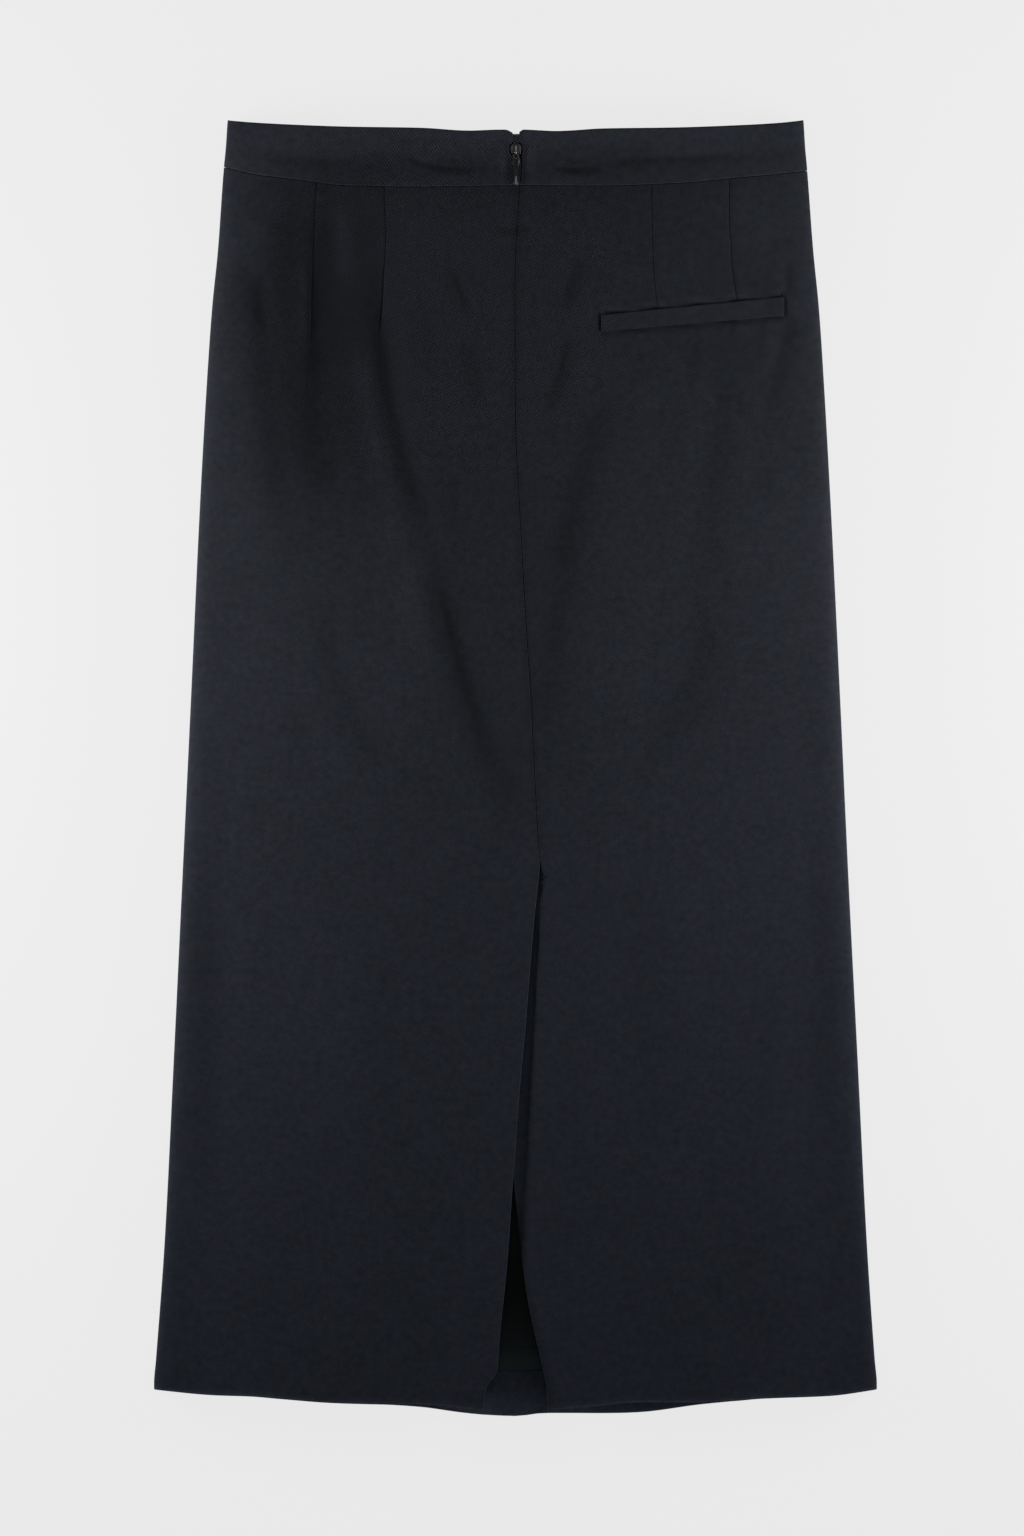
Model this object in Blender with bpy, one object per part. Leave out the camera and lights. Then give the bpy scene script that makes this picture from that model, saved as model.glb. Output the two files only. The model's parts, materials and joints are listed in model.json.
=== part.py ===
"""Midi pencil skirt in wool twill, laid on its front with the back up.

Frame: X to the wearer's right (the back is up), Y from the hem to the waist,
Z up. The origin is under the middle of the laid skirt, on the surface that it
rests on. Every size below is in millimetres, and the meshes are in metres.

The skirt is a flattened tube. The front panel lies flat and curls up to the
side seams. The two back panels rise from the side seams over a low crown and
meet in the centre-back seam. Below the seam the left panel's edge laps over
the right panel's, and the slit opens towards the hem.
"""
import bpy
import bmesh
from collections import namedtuple
from math import atan2, cos, exp, pi, radians, sin, sqrt
from mathutils import Matrix, Vector
from mathutils.bvhtree import BVHTree

MM = 0.001

# ---------------------------------------------------------------- sizes (mm)
WALL = 1.5            # skirt cloth with the lining or allowance behind it
HEM_WALL = 3.0        # cloth doubled by the hem's turn-up
HEM_DEPTH = 40.0      # height of the turn-up
BAND_WALL = 2.4       # waistband: two layers and the interfacing
BAND_PROUD = 0.5      # waistband stands this much above the panels
LINING_WALL = 1.0
WELT_WALL = 1.1
SEAM_GAP = 0.4        # room between two pieces along a seam
LAY_GAP = 0.3         # room between a piece and what it lies on

COLUMNS = 12          # mesh columns from a side seam to the centre back
CROWD = 1.9           # crowds the columns towards the side seam's curve
LAP_COLUMNS = (0.79, 0.87, 0.93, 0.965, 1.0)      # finer beside the slit
END_COLUMNS = (0.955, 0.975, 0.988, 1.0)          # finer beside the zip
NOTCH_DEEP, NOTCH_LEFT, NOTCH_RIGHT = 4.2, 8.5, 6.6   # the waistband's V over the zip

TAPE_HALF = 13.0      # zip tape, half its width
TAPE_TOP, TAPE_END = 441.4, 241.4
TAPE_WALL = 1.0
COIL_HALF = 2.2
COIL_TOP, COIL_END = 441.0, 424.0
ZIP_X = 0.5           # the zip's line

SLIDER_Y = 431.0      # middle of the slider
SLIDER_LONG = 9.0
SLIDER_WIDE = 8.0
SLIDER_SUNK = 1.0     # how far its seat lies below the waistband's face
PLATE = 0.8           # slider's top plate
BRIDGE_LONG, BRIDGE_HIGH, BRIDGE_WIDE, BRIDGE_BAR = 6.4, 2.2, 1.6, 0.8
TAB_LONG, TAB_WIDE, TAB_TIP, TAB_THICK = 20.6, 5.4, 3.5, 0.8
TAB_BAR = 0.4         # the eye's bar, half its depth
TAB_DROOP = 0.5       # degrees that the resting tab leans down to the cloth

# One row for each cross-section: the side seams, the top of the crown, the
# height of the side fold, and how square the crown's arch is.
Section = namedtuple("Section", "y left right crown side power")
SECTIONS = (
    Section(453.0, -201.2, 201.2, 13.0, 5.6, 2.3),
    Section(433.0, -202.5, 202.5, 13.8, 5.6, 2.3),
    Section(418.0, -204.0, 204.0, 14.6, 5.5, 2.2),
    Section(362.0, -208.0, 207.8, 18.2, 5.2, 2.1),
    Section(320.0, -212.2, 211.9, 20.2, 5.0, 2.1),
    Section(257.0, -216.5, 216.2, 21.8, 5.0, 2.1),
    Section(173.0, -220.7, 220.4, 22.0, 5.0, 2.2),
    Section(47.0, -226.3, 226.0, 20.5, 5.0, 2.4),
    Section(-79.0, -232.6, 232.3, 18.5, 5.0, 2.6),
    Section(-205.0, -238.9, 238.6, 16.6, 5.0, 2.9),
    Section(-331.0, -245.2, 244.9, 14.8, 4.8, 3.2),
    Section(-415.0, -251.4, 251.1, 13.6, 4.6, 3.4),
    Section(-431.0, -252.7, 252.7, 13.4, 4.6, 3.4),
    Section(-453.0, -252.7, 252.7, 13.4, 4.6, 3.4),
)

# The waistband's top edge and the seam under it, across the back.
Waist = namedtuple("Waist", "x top seam")
WAIST = (
    Waist(-204.0, 452.9, 419.5),
    Waist(-198.0, 452.4, 418.2),
    Waist(-183.6, 451.2, 414.6),
    Waist(-154.2, 449.3, 410.8),
    Waist(-117.8, 447.9, 406.4),
    Waist(-66.0, 447.2, 405.5),
    Waist(-32.0, 445.4, 405.9),
    Waist(0.0, 445.8, 406.6),
    Waist(60.0, 446.8, 406.2),
    Waist(111.8, 447.5, 408.0),
    Waist(158.7, 449.3, 412.2),
    Waist(185.3, 451.0, 414.8),
    Waist(204.0, 453.0, 417.0),
)

# The hem of the back panels and of the front panel, across the skirt.
Hem = namedtuple("Hem", "x back front")
HEM = (
    Hem(-252.7, -435.2, -434.4),
    Hem(-210.2, -439.4, -438.6),
    Hem(-164.7, -441.7, -441.6),
    Hem(-126.2, -444.3, -445.0),
    Hem(-94.7, -445.2, -445.9),
    Hem(-66.7, -445.6, -447.6),
    Hem(-38.7, -447.8, -451.4),
    Hem(-21.9, -449.9, -453.1),
    Hem(0.5, -450.3, -454.0),
    Hem(20.8, -449.9, -451.9),
    Hem(38.3, -448.2, -451.6),
    Hem(59.3, -446.4, -451.2),
    Hem(72.0, -444.8, -450.8),
    Hem(87.3, -444.0, -450.3),
    Hem(129.3, -444.0, -445.0),
    Hem(152.4, -442.9, -443.2),
    Hem(171.3, -441.3, -441.4),
    Hem(219.6, -439.4, -438.6),
    Hem(252.7, -435.2, -434.4),
)

# The centre-back seam, down to the top of the slit.
Seam = namedtuple("Seam", "y x")
CENTRE_BACK = (
    Seam(412.0, 3.6),
    Seam(404.0, 3.0),
    Seam(394.0, 2.3),
    Seam(384.0, 1.6),
    Seam(372.0, 0.9),
    Seam(360.0, 0.3),
    Seam(345.0, 0.0),
    Seam(297.0, -0.1),
    Seam(240.0, 0.2),
    Seam(178.0, 3.2),
    Seam(95.0, 7.9),
    Seam(51.0, 10.7),
    Seam(4.0, 13.1),
    Seam(-49.5, 16.0),
    Seam(-66.0, 17.4),
)

# The slit: the left panel's edge on top, the right panel's edge under it, how
# far the left one is lifted off the crown and the right one is pressed down,
# and how wide the hollow is that the right one climbs out of.
Slit = namedtuple("Slit", "y flap under lift drop hollow")
SLIT = (
    Slit(-66.0, 17.2, 17.6, 0.0, 0.0, 0.8),
    Slit(-76.0, 16.3, 17.4, 0.7, 1.6, 1.1),
    Slit(-90.0, 15.0, -10.2, 0.7, 2.4, 1.6),
    Slit(-131.0, 11.2, -9.4, 0.7, 2.5, 3.8),
    Slit(-185.0, 6.9, -7.5, 0.75, 2.66, 5.9),
    Slit(-237.0, 2.2, -4.9, 0.79, 2.81, 8.3),
    Slit(-282.0, -1.1, -1.9, 0.79, 2.81, 10.1),
    Slit(-304.0, -2.7, 0.2, 0.79, 2.81, 11.5),
    Slit(-339.0, -5.0, 4.0, 0.77, 2.73, 11.5),
    Slit(-373.0, -8.2, 9.0, 0.75, 2.65, 11.0),
    Slit(-400.0, -11.0, 14.6, 0.75, 2.65, 10.8),
    Slit(-422.0, -12.8, 19.7, 0.75, 2.65, 10.0),
    Slit(-434.0, -20.4, 21.9, 0.75, 2.65, 9.0),
    Slit(-450.5, -22.6, 22.7, 0.75, 2.65, 9.0),
)

# The ends of the waistband beside the zip.
Ends = namedtuple("Ends", "y left right")
BAND_ENDS = (
    Ends(447.0, -3.0, 4.4),
    Ends(438.0, -4.0, 5.0),
    Ends(426.0, -3.8, 5.0),
    Ends(416.0, -1.8, 4.6),
    Ends(405.0, 1.5, 4.7),
)

# The largest folds: each one is a soft trough through three points.
Fold = namedtuple("Fold", "x0 y0 x1 y1 x2 y2 width depth")
FOLDS = (
    Fold(-128.0, 432.0, -136.0, 305.0, -100.0, 130.0, 43.0, 2.4),
    Fold(-97.6, 330.0, -87.0, 246.6, -54.0, 136.0, 11.0, 1.4),
    Fold(-62.0, 160.0, -38.0, 70.0, 8.0, -38.0, 12.0, 1.6),
    Fold(-141.0, 268.0, -134.6, 222.0, -126.0, 182.0, 13.0, 0.8),
    Fold(-180.0, 330.0, -169.0, 238.0, -155.0, 154.0, 12.0, 0.7),
    Fold(-129.0, 128.0, -118.0, 50.0, -62.0, -26.0, 13.0, 0.8),
    Fold(-45.7, 355.0, -36.0, 318.0, -22.0, 250.0, 10.0, 0.8),
    Fold(48.0, 362.0, 38.0, 312.0, 19.0, 242.0, 10.0, 1.0),
    Fold(68.0, 268.0, 43.4, 196.0, 29.0, 100.0, 13.0, 1.3),
    Fold(33.0, 140.0, 26.0, 76.0, 15.0, 10.0, 13.0, 0.9),
    Fold(151.0, 306.0, 136.0, 204.0, 130.0, 96.0, 14.0, 0.8),
    Fold(130.0, 128.0, 118.0, 52.0, 68.0, -14.0, 14.0, 1.0),
)

# Rows of the body panels, as heights at the side seam. The first is the
# waist seam and the last is the hem.
PANEL_ROWS = (
    400.0, 382.0, 362.0, 341.0, 320.0, 297.0, 272.0, 245.0, 216.0, 186.0,
    155.0, 122.0, 88.0, 52.0, 14.0, -28.0, -66.0, -76.0, -90.0, -131.0,
    -185.0, -237.0, -282.0, -304.0, -339.0, -373.0,
)
FRONT_ROWS = (395.0, 360.0, 320.0, 257.0, 173.0, 88.0, 0.0, -79.0, -160.0,
              -240.0, -310.0, -360.0)

WELT_LEFT, WELT_RIGHT = 59.7, 188.2
WELT_TOP_LEFT, WELT_TOP_RIGHT = 315.9, 329.0
WELT_LOW_LEFT, WELT_LOW_RIGHT = 303.6, 315.2

LINING_END = -421.9   # the lining's lower edge, 31 mm above the hem
LINING_SIDE = 11.0    # how far the lining stops short of each side


# ------------------------------------------------------------- smooth curves
def curve(rows, key, value):
    """Monotone cubic through a table's rows, constant past its ends."""
    pts = sorted((getattr(r, key), getattr(r, value)) for r in rows)
    xs = [p[0] for p in pts]
    ys = [p[1] for p in pts]
    n = len(xs)
    d = [(ys[i + 1] - ys[i]) / (xs[i + 1] - xs[i]) for i in range(n - 1)]
    m = [d[0]] + [0.0] * (n - 2) + [d[-1]]
    for i in range(1, n - 1):
        if d[i - 1] * d[i] > 0.0:
            m[i] = 2.0 * d[i - 1] * d[i] / (d[i - 1] + d[i])

    def at(x):
        if x <= xs[0]:
            return ys[0]
        if x >= xs[-1]:
            return ys[-1]
        i = 0
        while xs[i + 1] < x:
            i += 1
        h = xs[i + 1] - xs[i]
        t = (x - xs[i]) / h
        return ((2 * t ** 3 - 3 * t ** 2 + 1) * ys[i]
                + (t ** 3 - 2 * t ** 2 + t) * h * m[i]
                + (3 * t ** 2 - 2 * t ** 3) * ys[i + 1]
                + (t ** 3 - t ** 2) * h * m[i + 1])
    return at


left_at = curve(SECTIONS, "y", "left")
right_at = curve(SECTIONS, "y", "right")
crown_at = curve(SECTIONS, "y", "crown")
side_at = curve(SECTIONS, "y", "side")
power_at = curve(SECTIONS, "y", "power")
top_at = curve(WAIST, "x", "top")
seam_at = curve(WAIST, "x", "seam")
hem_back_at = curve(HEM, "x", "back")
hem_front_at = curve(HEM, "x", "front")
centre_at = curve(CENTRE_BACK, "y", "x")
flap_at = curve(SLIT, "y", "flap")
under_at = curve(SLIT, "y", "under")
lift_at = curve(SLIT, "y", "lift")
drop_at = curve(SLIT, "y", "drop")
hollow_at = curve(SLIT, "y", "hollow")
end_left_at = curve(BAND_ENDS, "y", "left")
end_right_at = curve(BAND_ENDS, "y", "right")


def smooth(low, high, x):
    t = min(1.0, max(0.0, (x - low) / (high - low)))
    return t * t * (3.0 - 2.0 * t)


def top_cut(x):
    """The waistband's top edge, rounded down into a small V over the zip."""
    reach = NOTCH_LEFT if x < ZIP_X else NOTCH_RIGHT
    return top_at(x) - NOTCH_DEEP * (1.0 - smooth(0.0, 1.0, abs(x - ZIP_X) / reach))


def fold_depth(fold, x, y):
    """Depth of one trough at a point: a soft bell across it, tapered ends."""
    best, where = 1e9, 0.0
    steps = 14
    for i in range(steps + 1):
        t = i / steps
        # the middle point lies on the curve at t = 0.5
        cx = 2.0 * fold.x1 - 0.5 * (fold.x0 + fold.x2)
        cy = 2.0 * fold.y1 - 0.5 * (fold.y0 + fold.y2)
        px = (1 - t) ** 2 * fold.x0 + 2 * t * (1 - t) * cx + t * t * fold.x2
        py = (1 - t) ** 2 * fold.y0 + 2 * t * (1 - t) * cy + t * t * fold.y2
        dist = (px - x) ** 2 + (py - y) ** 2
        if dist < best:
            best, where = dist, t
    taper = smooth(0.0, 0.3, where) * smooth(0.0, 0.3, 1.0 - where)
    taper = 0.25 + 0.75 * taper
    return fold.depth * taper * exp(-best / fold.width ** 2)


def across(x, y):
    """-1 at the left side seam, 0 at the middle, 1 at the right side seam."""
    lo, hi = left_at(y), right_at(y)
    return (2.0 * x - lo - hi) / (hi - lo)


def crown_z(x, y):
    """Height of the back's outer face."""
    s = min(1.0, abs(across(x, y)))
    p = power_at(y)
    side = side_at(y)
    arch = (1.0 - s ** p) ** (1.0 / p)
    z = side + (crown_at(y) - side) * arch
    calm = (1.0 - smooth(0.84, 0.97, s)) * (1.0 - smooth(370.0, 405.0, y))
    if calm > 0.0:
        z -= calm * sum(fold_depth(f, x, y) for f in FOLDS)
    return z


def left_z(x, y):
    """The left back panel, lifted along the slit's upper edge."""
    z = crown_z(x, y)
    if y < -66.0:
        z += lift_at(y) * (1.0 - smooth(0.0, 46.0, flap_at(y) - x))
    return z


def right_z(x, y):
    """The right back panel, pressed down along the slit's under edge."""
    z = crown_z(x, y)
    if y < -66.0:
        z -= drop_at(y) * (1.0 - smooth(0.0, 1.6 * hollow_at(y), x - flap_at(y) - 1.0))
    return z


# ------------------------------------------------------------ solid builders
def paint(obj, name, colour, roughness, metallic):
    mat = bpy.data.materials.new(name)
    mat.use_nodes = True
    bsdf = mat.node_tree.nodes["Principled BSDF"]
    bsdf.inputs["Base Color"].default_value = (*colour, 1.0)
    bsdf.inputs["Roughness"].default_value = roughness
    bsdf.inputs["Metallic"].default_value = metallic
    obj.data.materials.append(mat)


def add_mesh(name, verts, faces, smooth_faces=True):
    mesh = bpy.data.meshes.new(name)
    mesh.from_pydata([tuple(c * MM for c in v) for v in verts], [], faces)
    bm = bmesh.new()
    bm.from_mesh(mesh)
    bmesh.ops.recalc_face_normals(bm, faces=bm.faces)
    if bm.calc_volume(signed=True) < 0.0:
        bmesh.ops.reverse_faces(bm, faces=bm.faces)
    bm.to_mesh(mesh)
    bm.free()
    if smooth_faces:
        mesh.shade_smooth()
        mesh.set_sharp_from_angle(angle=radians(40.0))
    obj = bpy.data.objects.new(name, mesh)
    bpy.context.scene.collection.objects.link(obj)
    return obj


def wall_between(name, outer, inner):
    """Closed wall between two grids of points with the same rows and columns."""
    rows, cols = len(outer), len(outer[0])
    verts = [p for row in outer for p in row] + [p for row in inner for p in row]
    shift = rows * cols
    faces = []
    for j in range(rows - 1):
        for i in range(cols - 1):
            a, b = j * cols + i, j * cols + i + 1
            c, d = (j + 1) * cols + i + 1, (j + 1) * cols + i
            faces.append((a, d, c, b))
            faces.append((a + shift, b + shift, c + shift, d + shift))
    rim = ([(0, i) for i in range(cols)] + [(j, cols - 1) for j in range(1, rows)]
           + [(rows - 1, i) for i in range(cols - 2, -1, -1)]
           + [(j, 0) for j in range(rows - 2, 0, -1)])
    for k, (j, i) in enumerate(rim):
        jn, in_ = rim[(k + 1) % len(rim)]
        a, b = j * cols + i, jn * cols + in_
        faces.append((a, b, b + shift, a + shift))
    return add_mesh(name, verts, faces)


def inward(grid, thickness, edge_left=None, edge_right=None, up=True):
    """The inner face: each point moved in along the outer face's normal.

    On an edge that is a side seam the fold stands upright, so the point
    there moves level, towards the middle.
    """
    rows, cols = len(grid), len(grid[0])
    out = []
    for j in range(rows):
        row = []
        for i in range(cols):
            p = Vector(grid[j][i])
            along = Vector(grid[j][min(i + 1, cols - 1)]) - Vector(grid[j][max(i - 1, 0)])
            down = Vector(grid[min(j + 1, rows - 1)][i]) - Vector(grid[max(j - 1, 0)][i])
            along.y = 0.0
            down = Vector((0.0, -1.0, down.z / max(1e-6, -down.y)))
            normal = down.cross(along).normalized()
            if (normal.z < 0.0) == up:
                normal.negate()
            normal.y = 0.0
            normal.normalize()
            if edge_left and i == 0:
                normal = Vector((-1.0, 0.0, 0.0))
            if edge_right and i == cols - 1:
                normal = Vector((1.0, 0.0, 0.0))
            row.append(tuple(p - normal * thickness(j, i)))
        out.append(row)
    return out


def crowded(last):
    """Shares of the way from the side seam to the centre, one for each column:
    crowded at the side seam's curve, and ending in the given last ones."""
    return [(i / COLUMNS) ** CROWD for i in range(COLUMNS)
            if (i / COLUMNS) ** CROWD < last[0] - 0.03] + list(last)


# ------------------------------------------------------------- the back panels
def panel_row_y(base, x, seam_side, hem_side):
    """Height of a row at x: level in the middle of the skirt, following the
    waist seam near the top and the hem near the bottom."""
    near_waist = smooth(330.0, seam_side, base)
    near_hem = smooth(-300.0, hem_side, base) if base > hem_side else 1.0
    near_hem = 1.0 - smooth(hem_side, -300.0, base)
    y = base
    y += near_waist * (seam_at(x) - 0.5 * SEAM_GAP - seam_side)
    y += near_hem * (hem_back_at(x) - hem_side)
    return y


def back_panel(name, on_left):
    seam_side = (seam_at(left_at(419.0)) if on_left else seam_at(right_at(417.0)))
    seam_side -= 0.5 * SEAM_GAP
    hem_side = hem_back_at(-252.7)
    turn = hem_side + HEM_DEPTH
    bases = ([seam_side] + list(PANEL_ROWS) + [turn + 0.8, turn - 0.4]
             + [turn - 0.55 * HEM_DEPTH, hem_side + 6.0, hem_side])
    height = left_z if on_left else right_z
    outer, thick = [], []
    for base in bases:
        row = []
        for i, w in enumerate(crowded(LAP_COLUMNS)):
            y = base
            for _ in range(4):
                side = left_at(y) if on_left else right_at(y)
                if y >= -66.0:
                    edge = centre_at(y) + (-0.5 if on_left else 0.5) * SEAM_GAP
                else:
                    edge = flap_at(y) if on_left else under_at(y)
                x = side + (edge - side) * w
                y = panel_row_y(base, x, seam_side, hem_side)
            z = height(x, y)
            if i == 0:
                z = side_at(y) + 0.5 * SEAM_GAP
            row.append((x, y, z))
        thick.append(HEM_WALL if base < turn else WALL)
        outer.append(row if on_left else row[::-1])
    inner = inward(outer, lambda j, i: thick[j], edge_left=on_left,
                   edge_right=not on_left)
    return wall_between(name, outer, inner)


# --------------------------------------------------------------- front pieces
def front_columns(y):
    """Cross-section of the front: up at both side seams, flat between."""
    lo, hi, r = left_at(y), right_at(y), side_at(y)
    pts = []
    steps = 4
    for k in range(steps):
        a = 0.5 * pi * k / steps
        pts.append((lo + r - r * cos(a), r - r * sin(a) - (0.5 * SEAM_GAP if k == 0 else 0.0)))
    flat = 8
    for k in range(flat + 1):
        pts.append((lo + r + (hi - lo - 2 * r) * k / flat, 0.0))
    for k in range(steps - 1, -1, -1):
        a = 0.5 * pi * k / steps
        pts.append((hi - r + r * cos(a), r - r * sin(a) - (0.5 * SEAM_GAP if k == 0 else 0.0)))
    return pts


def front_seam_at(x):
    """The front's waist seam dips below the back's."""
    return seam_at(x) - 3.0 * (1.0 - across(x, 410.0) ** 2)


def front_top_at(x):
    return top_at(x) - 6.0 * (1.0 - min(1.0, across(x, 446.0) ** 2))


def front_grid(row_heights):
    """row_heights: functions of x that give each row's height."""
    grid = []
    for height_at in row_heights:
        y = height_at(0.0)
        cols = []
        for k in range(len(front_columns(y))):
            y = height_at(front_columns(y)[k][0])
            x, z = front_columns(y)[k]
            cols.append((x, y, z))
        grid.append(cols)
    return grid


def front_panel():
    hem_side = hem_front_at(-252.7)
    turn = hem_side + HEM_DEPTH
    rows, thick = [], []
    rows.append(lambda x: front_seam_at(x) - 0.5 * SEAM_GAP)
    thick.append(WALL)
    for base in FRONT_ROWS:
        rows.append(lambda x, b=base: b + smooth(330.0, 417.0, b) * (front_seam_at(x) - 417.0)
                    + (1.0 - smooth(hem_side, -300.0, b)) * (hem_front_at(x) - hem_side))
        thick.append(WALL)
    for base, wall in ((turn + 0.6, WALL), (turn - 0.6, HEM_WALL),
                       (turn - 0.5 * HEM_DEPTH, HEM_WALL), (hem_side, HEM_WALL)):
        rows.append(lambda x, b=base: b
                    + (1.0 - smooth(hem_side, -300.0, b)) * (hem_front_at(x) - hem_side))
        thick.append(wall)
    outer = front_grid(rows)
    inner = inward(outer, lambda j, i: thick[j], edge_left=True, edge_right=True, up=False)
    return wall_between("front_panel", outer, inner)


def front_band():
    rows = [front_top_at,
            lambda x: 0.5 * (front_top_at(x) + front_seam_at(x)),
            lambda x: front_seam_at(x) + 0.5 * SEAM_GAP]
    outer = front_grid(rows)
    inner = inward(outer, lambda j, i: BAND_WALL, edge_left=True, edge_right=True, up=False)
    return wall_between("waistband_front", outer, inner)


def front_lining():
    """Lies on the inside of the front, over the top of the hem's turn-up."""
    hem_side = hem_front_at(-252.7)
    turn = hem_side + HEM_DEPTH
    rows = [(395.0, 0), (257.0, 0), (88.0, 0), (-79.0, 0), (-240.0, 0), (-330.0, 0),
            (turn + 3.4, 0), (turn + 1.4, 1), (LINING_END - hem_front_at(0.0) + hem_side, 1)]
    cols = 10
    upper, lower = [], []
    for base, on_turn in rows:
        up_row, low_row = [], []
        for k in range(cols + 1):
            y = base
            for _ in range(3):
                lo, hi = left_at(y) + LINING_SIDE, right_at(y) - LINING_SIDE
                x = lo + (hi - lo) * k / cols
                y = base + (1.0 - smooth(hem_side, -300.0, base)) * (hem_front_at(x) - hem_side)
                if base > 390.0:
                    y = front_seam_at(x) - 4.0
            z = (HEM_WALL if on_turn else WALL) + LAY_GAP
            low_row.append((x, y, z))
            up_row.append((x, y, z + LINING_WALL))
        upper.append(up_row)
        lower.append(low_row)
    return wall_between("front_lining", upper, lower)


# ------------------------------------------------------------------ waistband
def back_band(name, on_left):
    outer = []
    for share in (0.0, 0.2, 0.5, 0.75, 1.0):
        row = []
        for i, w in enumerate(crowded(END_COLUMNS)):
            y = 430.0
            for _ in range(4):
                side = left_at(y) if on_left else right_at(y)
                edge = end_left_at(y) if on_left else end_right_at(y)
                x = side + (edge - side) * w
                y = top_cut(x) + share * (seam_at(x) + 0.5 * SEAM_GAP - top_cut(x))
            z = crown_z(x, y) + BAND_PROUD * smooth(0.0, 0.02, w)
            if i == 0:
                z = side_at(y) + 0.5 * SEAM_GAP
            row.append((x, y, z))
        outer.append(row if on_left else row[::-1])
    inner = inward(outer, lambda j, i: BAND_WALL, edge_left=on_left,
                   edge_right=not on_left)
    return wall_between(name, outer, inner)


# ----------------------------------------------------------------- the pocket
def pocket_welt(panel):
    """A narrow band laid on the right back panel, made from its surface."""
    mesh = panel.data
    tree = BVHTree.FromPolygons([v.co / MM for v in mesh.vertices],
                                [p.vertices for p in mesh.polygons])
    cols, rows = 12, 2
    upper, lower = [], []
    for j in range(rows + 1):
        up_row, low_row = [], []
        for i in range(cols + 1):
            t, s = i / cols, j / rows
            x = WELT_LEFT + (WELT_RIGHT - WELT_LEFT) * t
            high = WELT_TOP_LEFT + (WELT_TOP_RIGHT - WELT_TOP_LEFT) * t
            low = WELT_LOW_LEFT + (WELT_LOW_RIGHT - WELT_LOW_LEFT) * t
            y = high + (low - high) * s
            hit = tree.ray_cast(Vector((x, y, 100.0)), Vector((0.0, 0.0, -1.0)))
            z = hit[0].z + LAY_GAP + 0.05
            low_row.append((x, y, z))
            up_row.append((x, y, z + WELT_WALL))
        upper.append(up_row)
        lower.append(low_row)
    return wall_between("pocket_welt", upper, lower)


# -------------------------------------------------------------------- the zip
def strip(name, half, top, end, rows, above, below):
    upper, lower = [], []
    for j in range(rows + 1):
        y = top + (end - top) * j / rows
        up_row, low_row = [], []
        for k in range(5):
            x = ZIP_X - half + 2.0 * half * k / 4
            z = crown_z(x, y)
            up_row.append((x, y, z + above))
            low_row.append((x, y, z + below))
        upper.append(up_row)
        lower.append(low_row)
    return wall_between(name, upper, lower)


def prism(name, outline, low, high):
    """Straight prism over an outline of (x, y) points."""
    n = len(outline)
    verts = [(x, y, low) for x, y in outline] + [(x, y, high) for x, y in outline]
    faces = [tuple(range(n)), tuple(range(n, 2 * n))]
    for k in range(n):
        faces.append((k, (k + 1) % n, n + (k + 1) % n, n + k))
    return add_mesh(name, verts, faces, smooth_faces=False)


def boolean(obj, other, operation):
    mod = obj.modifiers.new(other.name, "BOOLEAN")
    mod.operation = operation
    mod.solver = "EXACT"
    mod.object = other
    other.hide_render = True
    other.display_type = "WIRE"


def place(obj, at, tilt):
    obj.matrix_world = Matrix.Translation(at * MM) @ Matrix.Rotation(tilt, 4, "X")


def zip_slider(at, tilt):
    """Shield-shaped plate with a bridge on it and a stem between the tapes."""
    half, long = 0.5 * SLIDER_WIDE, 0.5 * SLIDER_LONG
    shield = [(-0.45 * half, long), (0.45 * half, long), (half, 0.55 * long),
              (half, -0.1 * long), (0.62 * half, -long), (-0.62 * half, -long),
              (-half, -0.1 * long), (-half, 0.55 * long)]
    body = prism("zip_slider", shield[::-1], LAY_GAP, LAY_GAP + PLATE)
    stem = prism("guide_stem", [(-1.6, -2.6), (1.6, -2.6), (1.6, 2.6), (-1.6, 2.6)],
                 -0.15, LAY_GAP + 0.4)
    base = LAY_GAP + PLATE
    bar, reach, high = BRIDGE_BAR, 0.5 * BRIDGE_LONG, BRIDGE_HIGH
    arch = [(-reach, -0.3), (-reach, high - 0.9), (-reach + 0.9, high),
            (reach - 0.9, high), (reach, high - 0.9), (reach, -0.3),
            (reach - bar, -0.3), (reach - bar, high - bar), (-reach + bar, high - bar),
            (-reach + bar, -0.3)]
    n = len(arch)
    hw = 0.5 * BRIDGE_WIDE
    verts = ([(-hw, y, base + z) for y, z in arch] + [(hw, y, base + z) for y, z in arch])
    # the bridge's two flat cheeks are split into convex strips
    strips = ((0, 1, 8, 9), (1, 2, 3, 4, 7, 8), (4, 5, 6, 7))
    faces = []
    for s in strips:
        faces.append(s)
        faces.append(tuple(n + k for k in s[::-1]))
    for k in range(n):
        faces.append((k, (k + 1) % n, n + (k + 1) % n, n + k))
    bridge = add_mesh("guide_bridge", verts, faces, smooth_faces=False)
    for piece in (body, stem, bridge):
        place(piece, at, tilt)
    boolean(body, stem, "UNION")
    boolean(body, bridge, "UNION")
    return body


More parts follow.
